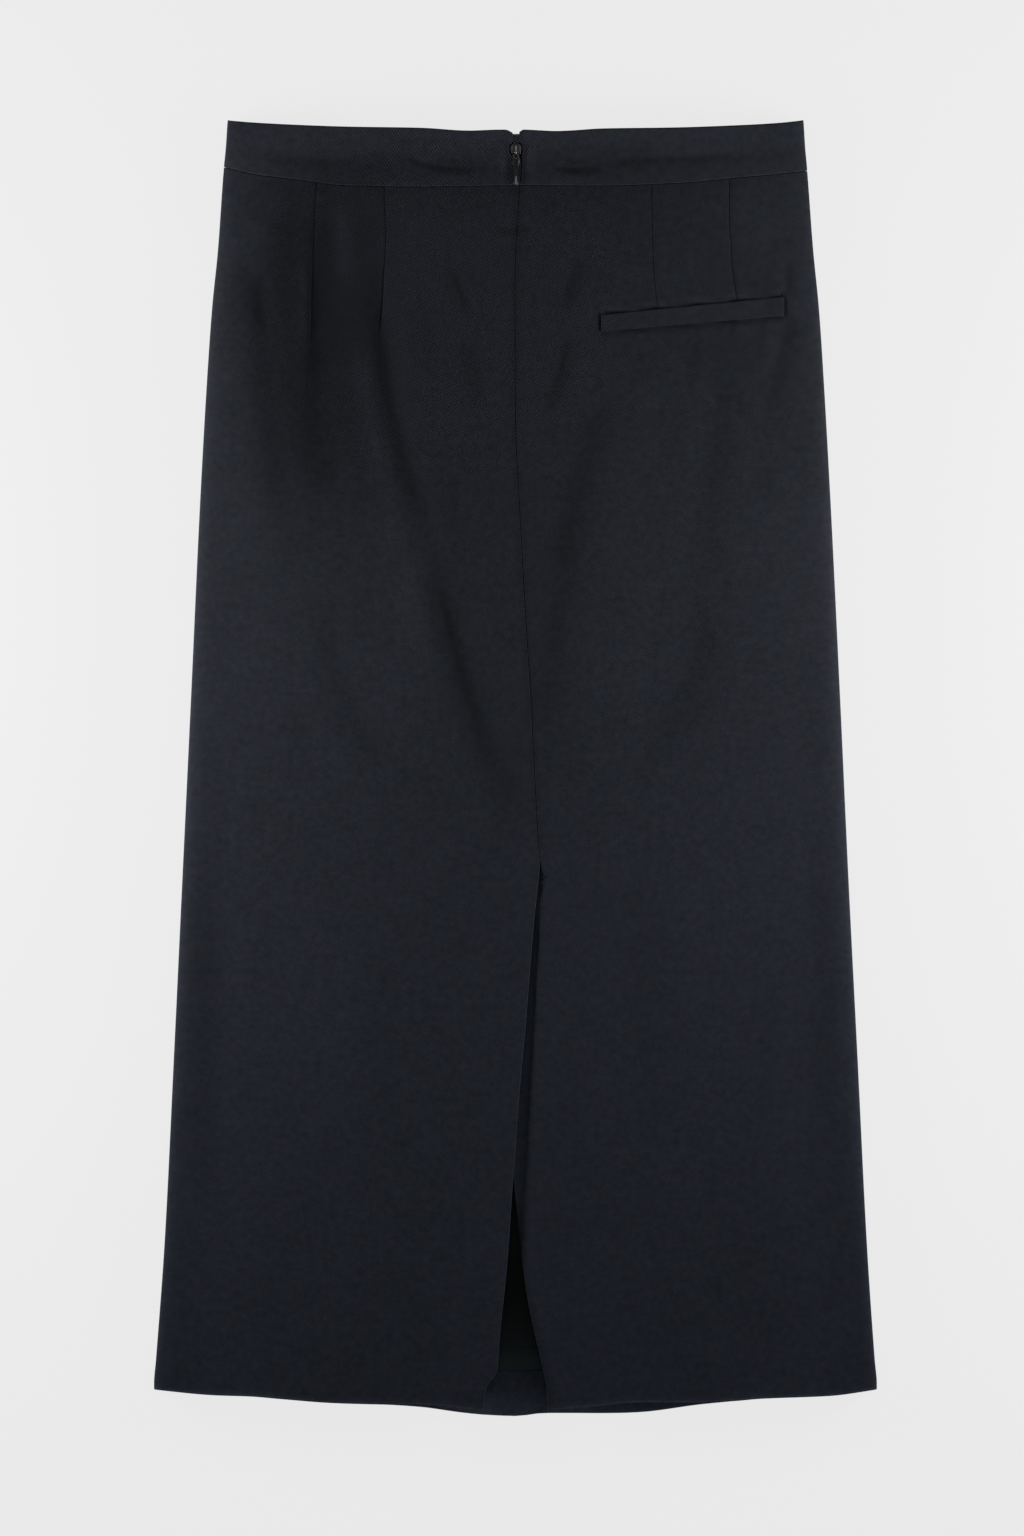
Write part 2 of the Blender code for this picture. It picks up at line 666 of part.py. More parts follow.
def zip_pull(at, tilt):
    """Teardrop tab: its eye's bar runs through the bridge, on the joint axis."""
    half, tip = 0.5 * TAB_WIDE, 0.5 * TAB_TIP
    outline = [(-half + 0.5, TAB_BAR), (half - 0.5, TAB_BAR), (half, -0.1), (half, -4.2),
               (tip + 0.3, -9.0), (tip, -TAB_LONG + 3.0)]
    for k in range(1, 6):
        a = pi * k / 6
        outline.append((tip * cos(a), -TAB_LONG + 2.2 - 1.7 * sin(a)))
    outline += [(-tip, -TAB_LONG + 3.0), (-tip - 0.3, -9.0), (-half, -4.2), (-half, -0.1)]
    thick = 0.5 * TAB_THICK
    tab = prism("zip_pull", outline[::-1], -thick, thick)
    eye = prism("guide_eye", [(-1.6, -TAB_BAR), (1.6, -TAB_BAR), (1.6, -3.6), (-1.6, -3.6)],
                -3.0, 3.0)
    slot = [(0.6, -12.8), (0.6, -17.6), (0.3, -18.2), (-0.3, -18.2), (-0.6, -17.6),
            (-0.6, -12.8)]
    window = prism("guide_window", slot, -3.0, 3.0)
    for piece in (tab, eye, window):
        place(piece, at, tilt)
    boolean(tab, eye, "DIFFERENCE")
    boolean(tab, window, "DIFFERENCE")
    return tab


# -------------------------------------------------------------------- assemble
def main():
    for obj in list(bpy.data.objects):
        bpy.data.objects.remove(obj, do_unlink=True)

    cloth = (0.0125, 0.0135, 0.0175)
    paint(front_panel(), "twill_front", cloth, 0.85, 0.0)
    paint(back_panel("back_left_panel", True), "twill_back_left", cloth, 0.85, 0.0)
    right = back_panel("back_right_panel", False)
    paint(right, "twill_back_right", cloth, 0.85, 0.0)
    paint(front_band(), "twill_band_front", (0.012, 0.013, 0.016), 0.85, 0.0)
    paint(back_band("waistband_back_left", True), "twill_band_left",
          (0.012, 0.013, 0.016), 0.85, 0.0)
    paint(back_band("waistband_back_right", False), "twill_band_right",
          (0.012, 0.013, 0.016), 0.85, 0.0)
    paint(pocket_welt(right), "twill_welt", (0.0115, 0.013, 0.0165), 0.85, 0.0)
    paint(front_lining(), "lining", (0.006, 0.0065, 0.006), 0.45, 0.0)
    paint(strip("zip_tape", TAPE_HALF, TAPE_TOP, TAPE_END, 8, -2.35, -2.35 - TAPE_WALL),
          "tape", (0.008, 0.009, 0.011), 0.9, 0.0)
    paint(strip("zip_coil", COIL_HALF, COIL_TOP, COIL_END, 3, -0.95, -2.05),
          "coil", (0.02, 0.02, 0.022), 0.4, 0.0)

    # The slider sits between the waistband's ends and leans with them.
    slope = atan2(crown_z(ZIP_X, 408.0) - crown_z(ZIP_X, 436.0), 28.0)
    z0 = crown_z(ZIP_X, SLIDER_Y) + BAND_PROUD + 0.05 - SLIDER_SUNK
    seat = Vector((ZIP_X, SLIDER_Y, z0))
    paint(zip_slider(seat, -slope), "gunmetal_slider", (0.03, 0.03, 0.032), 0.3, 0.9)
    bar_y = -0.5 * BRIDGE_LONG + BRIDGE_BAR + 0.75
    bar_z = LAY_GAP + PLATE + 0.5 * (BRIDGE_HIGH - BRIDGE_BAR)
    local = Matrix.Rotation(-slope, 3, "X") @ Vector((0.0, bar_y, bar_z))
    paint(zip_pull(seat + local, -slope + radians(TAB_DROOP)), "gunmetal_pull",
          (0.03, 0.03, 0.032), 0.3, 0.9)
    print("pull axis (m):", tuple(round(c * MM, 6) for c in seat + local))


main()
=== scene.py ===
"""Looks of the pencil skirt, laid flat with its back up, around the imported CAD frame.

All the cloth shells are made in millimetres from the same named sizes as the
solids, then turned into metres. X is the wearer's right, Y goes up to the
waist and Z is up from the surface that the skirt lies on.
"""
import json
import math
import bpy
import bmesh
import numpy as np
from mathutils import Matrix, Vector


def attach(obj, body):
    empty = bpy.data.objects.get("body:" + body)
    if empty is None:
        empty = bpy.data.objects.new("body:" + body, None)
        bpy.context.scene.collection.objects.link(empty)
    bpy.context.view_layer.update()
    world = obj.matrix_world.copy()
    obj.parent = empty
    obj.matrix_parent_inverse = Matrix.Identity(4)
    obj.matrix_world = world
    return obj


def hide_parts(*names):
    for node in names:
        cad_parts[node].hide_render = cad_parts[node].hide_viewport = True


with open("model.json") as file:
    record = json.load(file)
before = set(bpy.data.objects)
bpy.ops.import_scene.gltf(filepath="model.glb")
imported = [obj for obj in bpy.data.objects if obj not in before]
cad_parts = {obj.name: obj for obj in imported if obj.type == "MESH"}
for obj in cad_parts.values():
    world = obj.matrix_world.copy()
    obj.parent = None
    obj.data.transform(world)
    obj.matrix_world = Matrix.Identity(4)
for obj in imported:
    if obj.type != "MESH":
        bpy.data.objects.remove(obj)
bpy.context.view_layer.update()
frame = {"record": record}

MM = 0.001
BODY = "skirt"
PULL = "zip_pull_tab"
PULL_JOINT = next(j for j in frame["record"]["behaviour"]["joints"]
                  if j["name"] == "zip_pull_hinge")

# ------------------------------------------------------------------ sizes (mm)
WALL = 1.5
FACING_WALL = 2.3      # the slit's edges are folded under, so they are thicker
HEM_WALL = 2.9
HEM_DEPTH = 40.0
BAND_WALL = 2.4
BAND_PROUD = 0.40
SEAM_GAP = 0.14
ZIP_X = 0.5

# cross-sections: side seams, top of the crown, side fold's height, squareness
SECTIONS = dict(
    y=(-453.0, -431.0, -415.0, -331.0, -205.0, -79.0, 47.0, 173.0, 257.0, 320.0, 362.0, 418.0, 433.0, 453.0),
    left=(-252.7, -252.7, -251.4, -245.2, -238.9, -232.9, -226.9, -221.1, -216.5, -212.2, -208.0, -204.0, -202.5, -201.2),
    right=(252.9, 252.9, 251.5, 245.8, 239.5, 233.1, 227.3, 221.2, 216.6, 212.5, 208.4, 204.2, 202.8, 201.6),
    crown=(13.4, 13.4, 13.6, 14.8, 16.6, 18.5, 20.5, 22.0, 21.8, 20.2, 18.2, 14.6, 13.8, 13.0),
    side=(4.6, 4.6, 4.6, 4.8, 5.0, 5.0, 5.0, 5.0, 5.0, 5.0, 5.2, 5.5, 5.6, 5.6),
    power=(3.4, 3.4, 3.4, 3.2, 2.9, 2.6, 2.4, 2.2, 2.1, 2.1, 2.1, 2.2, 2.3, 2.3),
)
WAIST = dict(
    x=(-204.0, -198.0, -183.6, -154.2, -117.8, -66.0, -32.0, -11.0, 6.0, 17.0, 28.0, 39.0, 60.0, 111.8, 158.7, 185.3, 204.0),
    top=(452.9, 452.2, 450.9, 449.2, 447.8, 446.9, 444.9, 445.6, 445.6, 445.1, 444.6, 445.0, 446.4, 447.2, 449.0, 450.7, 452.9),
    seam=(419.5, 418.2, 414.6, 410.8, 406.4, 405.5, 405.9, 406.4, 406.6, 406.5, 406.4, 406.3, 406.2, 408.0, 412.2, 414.8, 417.0),
)
HEM = dict(
    x=(-252.7, -210.2, -185.0, -164.7, -126.2, -94.7, -66.7, -38.7, -21.9, 0.5, 20.8, 38.3, 59.3, 72.0, 87.3, 129.3, 152.4, 171.3, 219.6, 252.7),
    back=(-435.2, -438.9, -439.7, -441.4, -444.3, -445.2, -445.6, -447.8, -449.9, -450.3, -449.9, -448.2, -446.4, -444.8, -444.0, -444.0, -442.9, -441.3, -439.4, -435.2),
    front=(-434.4, -438.2, -439.3, -441.3, -445.0, -445.9, -447.6, -451.4, -453.1, -454.0, -451.9, -451.9, -452.0, -451.9, -451.3, -445.9, -443.6, -441.4, -438.6, -434.4),
)
CENTRE_BACK = dict(
    y=(-66.0, -49.5, 4.0, 51.0, 95.0, 178.0, 240.0, 297.0, 345.0, 360.0, 372.0, 384.0, 394.0, 404.0, 412.0),
    x=(17.4, 16.0, 13.1, 10.7, 7.9, 3.2, 0.2, -0.1, 0.0, 0.3, 0.9, 1.6, 2.3, 3.0, 3.6),
)
SLIT = dict(
    y=(-450.5, -434.0, -422.0, -394.0, -366.0, -338.0, -303.0, -289.0, -268.0, -247.0, -226.0, -205.0, -184.0, -163.0, -142.0, -128.0, -114.0, -103.0, -93.0, -82.0, -74.0, -66.0),
    flap=(-22.6, -20.4, -12.8, -10.5, -7.5, -4.9, -2.6, -1.6, 0.0, 1.4, 3.0, 4.9, 7.0, 8.6, 10.3, 11.4, 12.6, 13.5, 14.7, 15.9, 16.8, 17.2),
    under=(22.7, 21.9, 19.7, 13.2, 7.6, 3.9, 0.1, -1.4, -3.0, -4.3, -5.5, -6.5, -7.5, -8.3, -9.0, -9.5, -9.8, -10.0, -10.2, -10.2, 17.0, 17.6),
    step=(3.4, 3.4, 3.4, 3.4, 3.4, 3.5, 3.6, 3.6, 3.6, 3.6, 3.6, 3.5, 3.4, 3.3, 3.2, 3.2, 3.1, 3.1, 3.0, 2.9, 2.2, 0.0),
    hollow=(10.0, 10.0, 12.0, 14.0, 15.0, 16.0, 15.5, 14.5, 13.0, 11.8, 10.2, 8.8, 7.2, 5.8, 4.9, 4.2, 3.4, 2.5, 1.8, 1.4, 1.0, 0.8),
)
BAND_ENDS = dict(
    y=(405.0, 412.0, 419.0, 423.4, 426.4, 428.4, 430.6, 433.2, 434.6, 436.2, 438.0, 447.0),
    left=(2.9, 3.6, 3.95, 4.0, -2.2, -3.0, -3.7, -3.7, -3.45, -2.2, -1.75, -1.6),
    right=(3.15, 3.82, 4.18, 4.26, 4.3, 4.45, 4.72, 4.72, 4.45, 3.2, 2.75, 2.6),
)

# Soft troughs: start, a point on the way and end; the width of the bank on the
# left and on the right, and the depth. Then how much painted shade lies along it
# (painted light where negative), how far beside its floor, and how widely.
FOLD_COLUMNS = ("x0", "y0", "x1", "y1", "x2", "y2", "left", "right", "depth", "painted_shading", "painted_shading_at", "painted_shading_width")
FOLDS = (
    # left back: the wide hollow that the two darts leave
    (-128.0, 452.0, -136.0, 305.0, -100.0, 130.0, 44.0, 42.0, 2.4, 0.45, -2.0, 52.0),
    # its sharp lines: under the outer dart
    (-139.6, 366.0, -139.6, 316.0, -140.4, 268.0, 4.6, 7.0, 0.9, 0.20, 1.6, 5.2),
    (-148.0, 360.0, -147.6, 326.0, -147.4, 284.0, 3.0, 3.0, 0.0, -0.22, 0.0, 2.7),
    (-134.0, 420.0, -133.0, 334.0, -134.0, 262.0, 8.0, 10.0, 0.2, 0.20, 0.0, 8.5),
    (-139.4, 298.0, -140.0, 274.0, -141.6, 246.0, 8.0, 8.0, 0.5, 0.25, 0.0, 8.0),
    (-141.0, 268.0, -134.6, 222.0, -126.0, 182.0, 13.0, 12.0, 0.8, 0.14, 0.0, 11.0),
    # under the inner dart, long and bent, as far as the centre back
    (-95.6, 358.0, -96.2, 328.0, -94.2, 298.0, 7.0, 7.0, 0.8, 0.22, 0.0, 6.4),
    (-95.4, 330.0, -84.8, 246.6, -52.0, 136.0, 7.4, 8.0, 1.3, 0.23, 0.5, 7.0),
    (-93.6, 326.0, -91.0, 292.0, -85.0, 256.0, 7.0, 7.0, 0.3, 0.12, 0.0, 6.6),
    (-77.0, 222.0, -65.0, 182.0, -50.0, 142.0, 12.0, 12.0, 0.4, 0.05, 0.0, 11.0),
    (-57.0, 160.0, -37.5, 64.0, 2.0, -48.0, 8.0, 13.0, 1.8, 0.32, 0.6, 9.2),
    # painted light along the bank on its outer side
    (-109.0, 300.0, -102.6, 248.0, -86.0, 178.0, 8.0, 8.0, 0.0, -0.35, 0.0, 8.6),
    (-92.0, 200.0, -78.0, 134.0, -60.0, 60.0, 8.0, 8.0, 0.0, -0.16, 0.0, 11.0),
    (-123.0, 394.0, -120.0, 364.0, -114.0, 326.0, 8.0, 8.0, 0.0, -0.36, 0.0, 8.5),
    (-50.0, 140.0, -40.0, 92.0, -18.0, 6.0, 16.0, 22.0, 0.6, 0.07, 0.0, 15.0),
    # by the left side seam
    (-179.0, 350.0, -177.6, 325.0, -176.0, 298.0, 5.4, 6.4, 0.8, 0.29, 0.0, 5.6),
    (-180.0, 330.0, -169.0, 238.0, -155.0, 154.0, 9.0, 11.0, 0.7, 0.12, 0.0, 8.5),
    (-196.0, 366.0, -188.0, 345.0, -181.0, 310.0, 5.0, 6.0, 0.4, 0.04, 0.0, 5.0),
    (-200.0, 385.0, -180.0, 368.0, -160.0, 362.0, 7.0, 7.0, 0.3, 0.02, 0.0, 6.0),
    (-160.0, 172.0, -146.0, 156.0, -128.0, 160.0, 9.0, 9.0, 0.3, 0.06, 0.0, 8.0),
    # between the darts and the centre
    (-45.7, 355.0, -38.7, 334.0, -29.0, 310.0, 4.2, 4.2, 0.8, 0.20, 0.0, 4.0),
    (-36.0, 305.0, -28.9, 274.6, -19.0, 242.0, 8.0, 8.0, 0.8, 0.20, 0.0, 7.0),
    (-67.0, 332.0, -59.7, 299.0, -52.0, 270.0, 8.0, 8.0, 0.5, 0.11, 0.0, 7.5),
    (-46.0, 216.0, -42.0, 192.0, -37.0, 162.0, 8.0, 8.0, 0.4, 0.10, 0.0, 7.0),
    (-129.0, 128.0, -118.0, 50.0, -62.0, -26.0, 11.0, 11.0, 0.8, 0.14, 0.0, 9.0),
    (-150.0, 42.0, -147.0, 22.0, -142.0, 2.0, 7.0, 7.0, 0.3, 0.06, 0.0, 6.0),
    (-22.0, 262.0, -24.0, 200.0, -12.0, 120.0, 13.0, 10.0, 0.4, 0.0, 0.0, 10.0),
    # right back: softer, a mirror of the left only in its run
    (48.0, 362.0, 40.0, 340.0, 32.0, 312.0, 5.6, 5.6, 0.9, 0.24, 0.0, 5.4),
    (38.0, 312.0, 31.6, 276.0, 19.0, 242.0, 5.6, 5.6, 1.1, 0.27, 0.0, 5.2),
    (68.0, 268.0, 43.4, 196.0, 29.0, 100.0, 11.0, 12.0, 1.3, 0.25, 0.0, 9.6),
    (33.0, 140.0, 26.0, 76.0, 15.0, 10.0, 12.0, 11.0, 0.9, 0.18, 0.0, 10.0),
    (151.0, 306.0, 136.0, 204.0, 130.0, 96.0, 13.0, 12.0, 0.8, 0.14, 0.0, 10.0),
    (130.0, 128.0, 118.0, 52.0, 68.0, -14.0, 13.0, 13.0, 1.0, 0.16, 0.0, 10.0),
    (122.3, 302.0, 122.5, 284.0, 121.0, 264.0, 6.0, 6.0, 0.4, 0.07, 0.0, 5.6),
    (107.5, 248.0, 106.5, 228.0, 106.0, 206.0, 8.0, 8.0, 0.4, 0.07, 0.0, 8.0),
    (148.0, 316.0, 149.0, 306.0, 150.0, 296.0, 4.0, 4.0, 0.3, 0.06, 0.0, 3.6),
    (120.0, 150.0, 96.0, 80.0, 52.0, -10.0, 18.0, 18.0, 0.3, 0.0, 0.0, 14.0),
    (190.6, 356.0, 189.8, 341.0, 189.4, 326.0, 4.0, 4.0, 0.5, 0.12, 0.0, 3.6),
    (192.0, 324.0, 183.6, 284.0, 169.5, 234.0, 6.0, 8.0, 0.7, 0.14, 0.0, 6.2),
    (176.0, 246.0, 171.0, 216.0, 166.0, 180.0, 10.0, 10.0, 0.4, 0.07, 0.0, 9.0),
    (200.0, 388.0, 186.0, 372.0, 170.0, 366.0, 7.0, 7.0, 0.3, 0.02, 0.0, 6.0),
    # over the slit and low down: long and faint
    (-60.0, -60.0, -66.0, -180.0, -84.0, -300.0, 30.0, 26.0, 0.6, 0.02, 0.0, 24.0),
    (74.0, -50.0, 84.0, -170.0, 104.0, -300.0, 30.0, 30.0, 0.5, 0.02, 0.0, 24.0),
    (-211.0, -30.0, -212.0, -190.0, -213.0, -360.0, 14.0, 14.0, 0.5, 0.10, 0.0, 15.0),
    (208.0, -30.0, 209.0, -190.0, 211.0, -360.0, 14.0, 14.0, 0.5, 0.09, 0.0, 15.0),
    (-88.0, -90.0, -88.0, -220.0, -90.0, -350.0, 15.0, 15.0, 0.4, 0.05, 0.0, 13.0),
    (86.0, -60.0, 88.0, -200.0, 92.0, -360.0, 15.0, 15.0, 0.4, 0.05, 0.0, 13.0),
    (-132.0, -250.0, -140.0, -330.0, -150.0, -420.0, 22.0, 24.0, 0.5, 0.02, 0.0, 20.0),
    (140.0, -240.0, 136.0, -330.0, 148.0, -425.0, 24.0, 22.0, 0.4, 0.02, 0.0, 20.0),
    # across the centre back, where the zip stiffens the seam
    (-17.0, 377.6, 0.0, 376.6, 13.0, 377.6, 3.4, 3.4, 0.6, 0.13, 0.0, 3.2),
    (-14.0, 398.0, -9.0, 350.0, -8.0, 300.0, 5.0, 5.0, 0.35, 0.0, 0.0, 5.0),
)
# painted shade or painted light over a wide area: middle, radii, amount
PAINTED_SHADING_COLUMNS = ("x", "y", "rx", "ry", "painted_shading")
PAINTED_SHADING = (
    (-15.0, 315.0, 105.0, 150.0, 0.13),
    (182.0, 318.0, 40.0, 120.0, 0.13),
    (8.0, 120.0, 34.0, 200.0, 0.06),
    (-15.0, 409.0, 160.0, 20.0, 0.15),
    (0.0, -470.0, 330.0, 120.0, 0.05),
    (-121.0, 362.0, 9.0, 30.0, -0.12),
    (-187.0, 368.0, 17.0, 27.0, -0.30),
    (-184.0, 414.0, 24.0, 15.0, -0.16),
    (-178.0, 434.0, 40.0, 8.0, -0.08),
    (172.0, 382.0, 22.0, 30.0, -0.20),
    (-150.0, -90.0, 56.0, 230.0, -0.09),
    (130.0, -90.0, 60.0, 240.0, -0.08),
    (-66.0, 262.0, 34.0, 90.0, 0.09),
    (0.0, 447.0, 260.0, 15.0, -0.32),
    (0.0, 434.0, 120.0, 14.0, -0.10),
    # painted light beside the zip, against the shade and shadow of the slider and tab
    (-8.0, 424.0, 5.2, 14.0, -0.48),
    (9.6, 424.0, 5.2, 14.0, -0.46),
    # small patches of painted shade and painted light
    (-152.0, 390.0, 9.0, 18.0, 0.10),
    (-182.0, 362.0, 9.0, 12.0, -0.10),
    (-194.0, 278.0, 11.0, 34.0, -0.08),
    (-182.0, 131.0, 26.0, 24.0, 0.07),
    (-133.0, 117.0, 18.0, 16.0, 0.06),
    (19.0, 145.0, 13.0, 16.0, 0.06),
    (-54.0, 187.0, 12.0, 18.0, 0.06),
    (-18.0, 187.0, 9.0, 18.0, 0.06),
    (200.0, 320.0, 8.0, 18.0, -0.10),
    (-80.0, 432.0, 16.0, 6.0, 0.07),
    (76.0, 429.0, 21.0, 6.0, 0.12),
    (52.0, 417.0, 12.0, 5.0, 0.07),
    (126.0, 298.0, 38.0, 15.0, 0.08),
    (140.0, 278.0, 16.0, 13.0, 0.06),
    (112.0, 250.0, 13.0, 16.0, 0.06),
    (34.0, 148.0, 17.0, 36.0, 0.09),
    (-38.0, 150.0, 30.0, 34.0, 0.08),
    (-6.0, -24.0, 15.0, 22.0, 0.10),
    (80.0, 66.0, 32.0, 80.0, -0.09),
    (-80.0, 60.0, 26.0, 60.0, -0.07),
    (-92.0, -120.0, 40.0, 190.0, -0.04),
    (84.0, -120.0, 44.0, 190.0, -0.03),
)
# darts: the stitched line as x at y, and the side that its take-up is pressed to
DARTS_LEFT = (
    dict(y=(294.0, 306.1, 314.5, 331.3, 356.5, 381.7, 398.5, 406.9),
         x=(-142.8, -142.8, -142.7, -142.5, -141.4, -140.5, -139.7, -139.0), bulk=-1.0, tip=1.0),
    dict(y=(297.7, 306.1, 314.5, 331.3, 348.1, 356.5, 364.9, 381.7, 398.5, 406.9),
         x=(-94.6, -94.1, -93.5, -92.4, -91.6, -91.0, -90.8, -91.0, -91.8, -92.0), bulk=-1.0, tip=1.0),
)
DARTS_RIGHT = (
    dict(y=(316.0, 322.9, 329.9, 336.9, 343.9, 350.9, 364.9, 385.9, 399.9, 406.9),
         x=(100.2, 99.3, 98.5, 97.8, 97.1, 96.6, 96.2, 95.8, 95.5, 95.8), bulk=1.0, tip=0.0),
    dict(y=(322.0, 329.9, 336.9, 343.9, 350.9, 364.9, 378.9, 399.9, 406.9),
         x=(155.2, 154.3, 153.3, 152.3, 151.3, 150.8, 149.8, 149.7, 149.9), bulk=1.0, tip=0.0),
)

WELT = dict(x0=59.7, x1=188.2, top0=315.9, top1=329.0, low0=303.6, low1=315.2)
LINING_END = -424.4


# --------------------------------------------------------------- smooth curves
def curve(table, key, value):
    """Monotone cubic through a table's columns, constant past its ends."""
    xs = np.array(table[key], float)
    ys = np.array(table[value], float)
    d = np.diff(ys) / np.diff(xs)
    m = np.zeros(len(xs))
    m[0], m[-1] = d[0], d[-1]
    for i in range(1, len(xs) - 1):
        if d[i - 1] * d[i] > 0:
            m[i] = 2 * d[i - 1] * d[i] / (d[i - 1] + d[i])

    def at(x):
        x = np.clip(np.asarray(x, float), xs[0], xs[-1])
        i = np.clip(np.searchsorted(xs, x, side="right") - 1, 0, len(xs) - 2)
        h = xs[i + 1] - xs[i]
        t = (x - xs[i]) / h
        return ((2 * t ** 3 - 3 * t ** 2 + 1) * ys[i] + (t ** 3 - 2 * t ** 2 + t) * h * m[i]
                + (3 * t ** 2 - 2 * t ** 3) * ys[i + 1] + (t ** 3 - t ** 2) * h * m[i + 1])
    return at


left_at = curve(SECTIONS, "y", "left")
right_at = curve(SECTIONS, "y", "right")
crown_at = curve(SECTIONS, "y", "crown")
side_at = curve(SECTIONS, "y", "side")
power_at = curve(SECTIONS, "y", "power")
top_at = curve(WAIST, "x", "top")
seam_at = curve(WAIST, "x", "seam")
hem_back_at = curve(HEM, "x", "back")
hem_front_at = curve(HEM, "x", "front")
centre_at = curve(CENTRE_BACK, "y", "x")
flap_at = curve(SLIT, "y", "flap")
under_at = curve(SLIT, "y", "under")
step_at = curve(SLIT, "y", "step")
hollow_at = curve(SLIT, "y", "hollow")
end_left_at = curve(BAND_ENDS, "y", "left")
end_right_at = curve(BAND_ENDS, "y", "right")


NOTCH = dict(depth=2.9, left=7.5, right=5.4)


def top_cut(x):
    """The waistband's top edge, rounded down into a small V over the zip."""
    x = np.asarray(x, float)
    reach = np.where(x < ZIP_X, NOTCH["left"], NOTCH["right"])
    return top_at(x) - NOTCH["depth"] * (1.0 - smooth(0.0, 1.0, np.abs(x - ZIP_X) / reach))


def smooth(low, high, x):
    t = np.clip((np.asarray(x, float) - low) / (high - low), 0.0, 1.0)
    return t * t * (3.0 - 2.0 * t)


def bell(x, width):
    return np.exp(-(x / width) ** 2)


def across(x, y):
    lo, hi = left_at(y), right_at(y)
    return (2.0 * x - lo - hi) / (hi - lo)


def fold_place(f, x, y, steps=24):
    """Signed distance from a fold's line, + on its right-hand side as it runs
    down, and how far along it the nearest point is."""
    cx = 2.0 * f["x1"] - 0.5 * (f["x0"] + f["x2"])
    cy = 2.0 * f["y1"] - 0.5 * (f["y0"] + f["y2"])
    best = np.full(x.shape, 1e12)
    where = np.zeros(x.shape)
    sign = np.ones(x.shape)
    for k in range(steps + 1):
        t = k / steps
        px = (1 - t) ** 2 * f["x0"] + 2 * t * (1 - t) * cx + t * t * f["x2"]
        py = (1 - t) ** 2 * f["y0"] + 2 * t * (1 - t) * cy + t * t * f["y2"]
        tx = 2 * (1 - t) * (cx - f["x0"]) + 2 * t * (f["x2"] - cx)
        ty = 2 * (1 - t) * (cy - f["y0"]) + 2 * t * (f["y2"] - cy)
        n = math.hypot(tx, ty)
        dx, dy = x - px, y - py
        reach = n / steps
        along = np.clip((dx * tx + dy * ty) / n, -reach if k > 0 else 0.0, reach if k < steps else 0.0)
        ex, ey = dx - along * tx / n, dy - along * ty / n
        d2 = ex * ex + ey * ey
        new = d2 < best
        best = np.where(new, d2, best)
        where = np.where(new, np.clip(t + along / n, 0.0, 1.0), where)
        sign = np.where(new, np.sign(tx * ey - ty * ex), sign)
    return np.sqrt(best) * np.where(sign < 0, -1.0, 1.0), where


def fold(row, x, y, columns=FOLD_COLUMNS):
    """Relief and painted shade of one soft trough."""
    f = dict(zip(columns, row))
    reach = 3.0 * max(f["left"], f["right"], f.get("painted_shading_width", 0.0)) + abs(f.get("painted_shading_at", 0.0))
    near = ((x > min(f["x0"], f["x1"], f["x2"]) - reach) & (x < max(f["x0"], f["x1"], f["x2"]) + reach)
            & (y > min(f["y0"], f["y1"], f["y2"]) - reach) & (y < max(f["y0"], f["y1"], f["y2"]) + reach))
    relief, painted_shading = np.zeros(x.shape), np.zeros(x.shape)
    if not near.any():
        return relief, painted_shading
    d, where = fold_place(f, x[near], y[near])
    width = np.where(d > 0, f["right"], f["left"])
    taper = 0.06 + 0.94 * smooth(0.0, 0.30, where) * smooth(0.0, 0.34, 1.0 - where)
    bank = np.minimum(width, 16.0)
    relief[near] = f["depth"] * taper * (
        0.16 * np.exp(-((np.abs(d) - 1.7 * width) / bank) ** 2) - np.exp(-(d / width) ** 2))
    if f.get("painted_shading"):
        power = 4.0 if f["painted_shading_width"] > 30.0 else 2.0
        painted_shading[near] = f["painted_shading"] * taper * np.exp(-np.abs((d - f["painted_shading_at"]) / f["painted_shading_width"]) ** power)
    return relief, painted_shading


def trough(row, x, y):
    return fold(row, np.asarray(x, float), np.asarray(y, float), FOLD_COLUMNS[:9])[0]


def drift(x, y, cell, seed):
    """Smooth seeded noise between -1 and 1, one lump or dip to a cell."""
    turn = np.random.default_rng(seed).uniform(0.0, 2.0 * np.pi, (48, 48))
    gx, gy = x / cell + 20.3, y / cell + 20.7
    i, j = np.floor(gx).astype(int) % 47, np.floor(gy).astype(int) % 47
    fx, fy = gx - np.floor(gx), gy - np.floor(gy)
    u, v = fx ** 3 * (fx * (6 * fx - 15) + 10), fy ** 3 * (fy * (6 * fy - 15) + 10)

    def corner(a, b):
        way = turn[i + a, j + b]
        return np.cos(way) * (fx - a) + np.sin(way) * (fy - b)
    low = corner(0, 0) + u * (corner(1, 0) - corner(0, 0))
    high = corner(0, 1) + u * (corner(1, 1) - corner(0, 1))
    return 1.4 * (low + v * (high - low))


def swell(x, y):
    """The slow unevenness of cloth that lies by its own weight."""
    return (0.40 * drift(x, y * 0.62, 120.0, 3) + 0.13 * drift(x, y * 0.7, 52.0, 8)
            + 0.05 * drift(x, y, 22.0, 11))


def fold_relief(x, y):
    relief = swell(x, y)
    for row in FOLDS:
        relief = relief + fold(row, x, y)[0]
    return relief


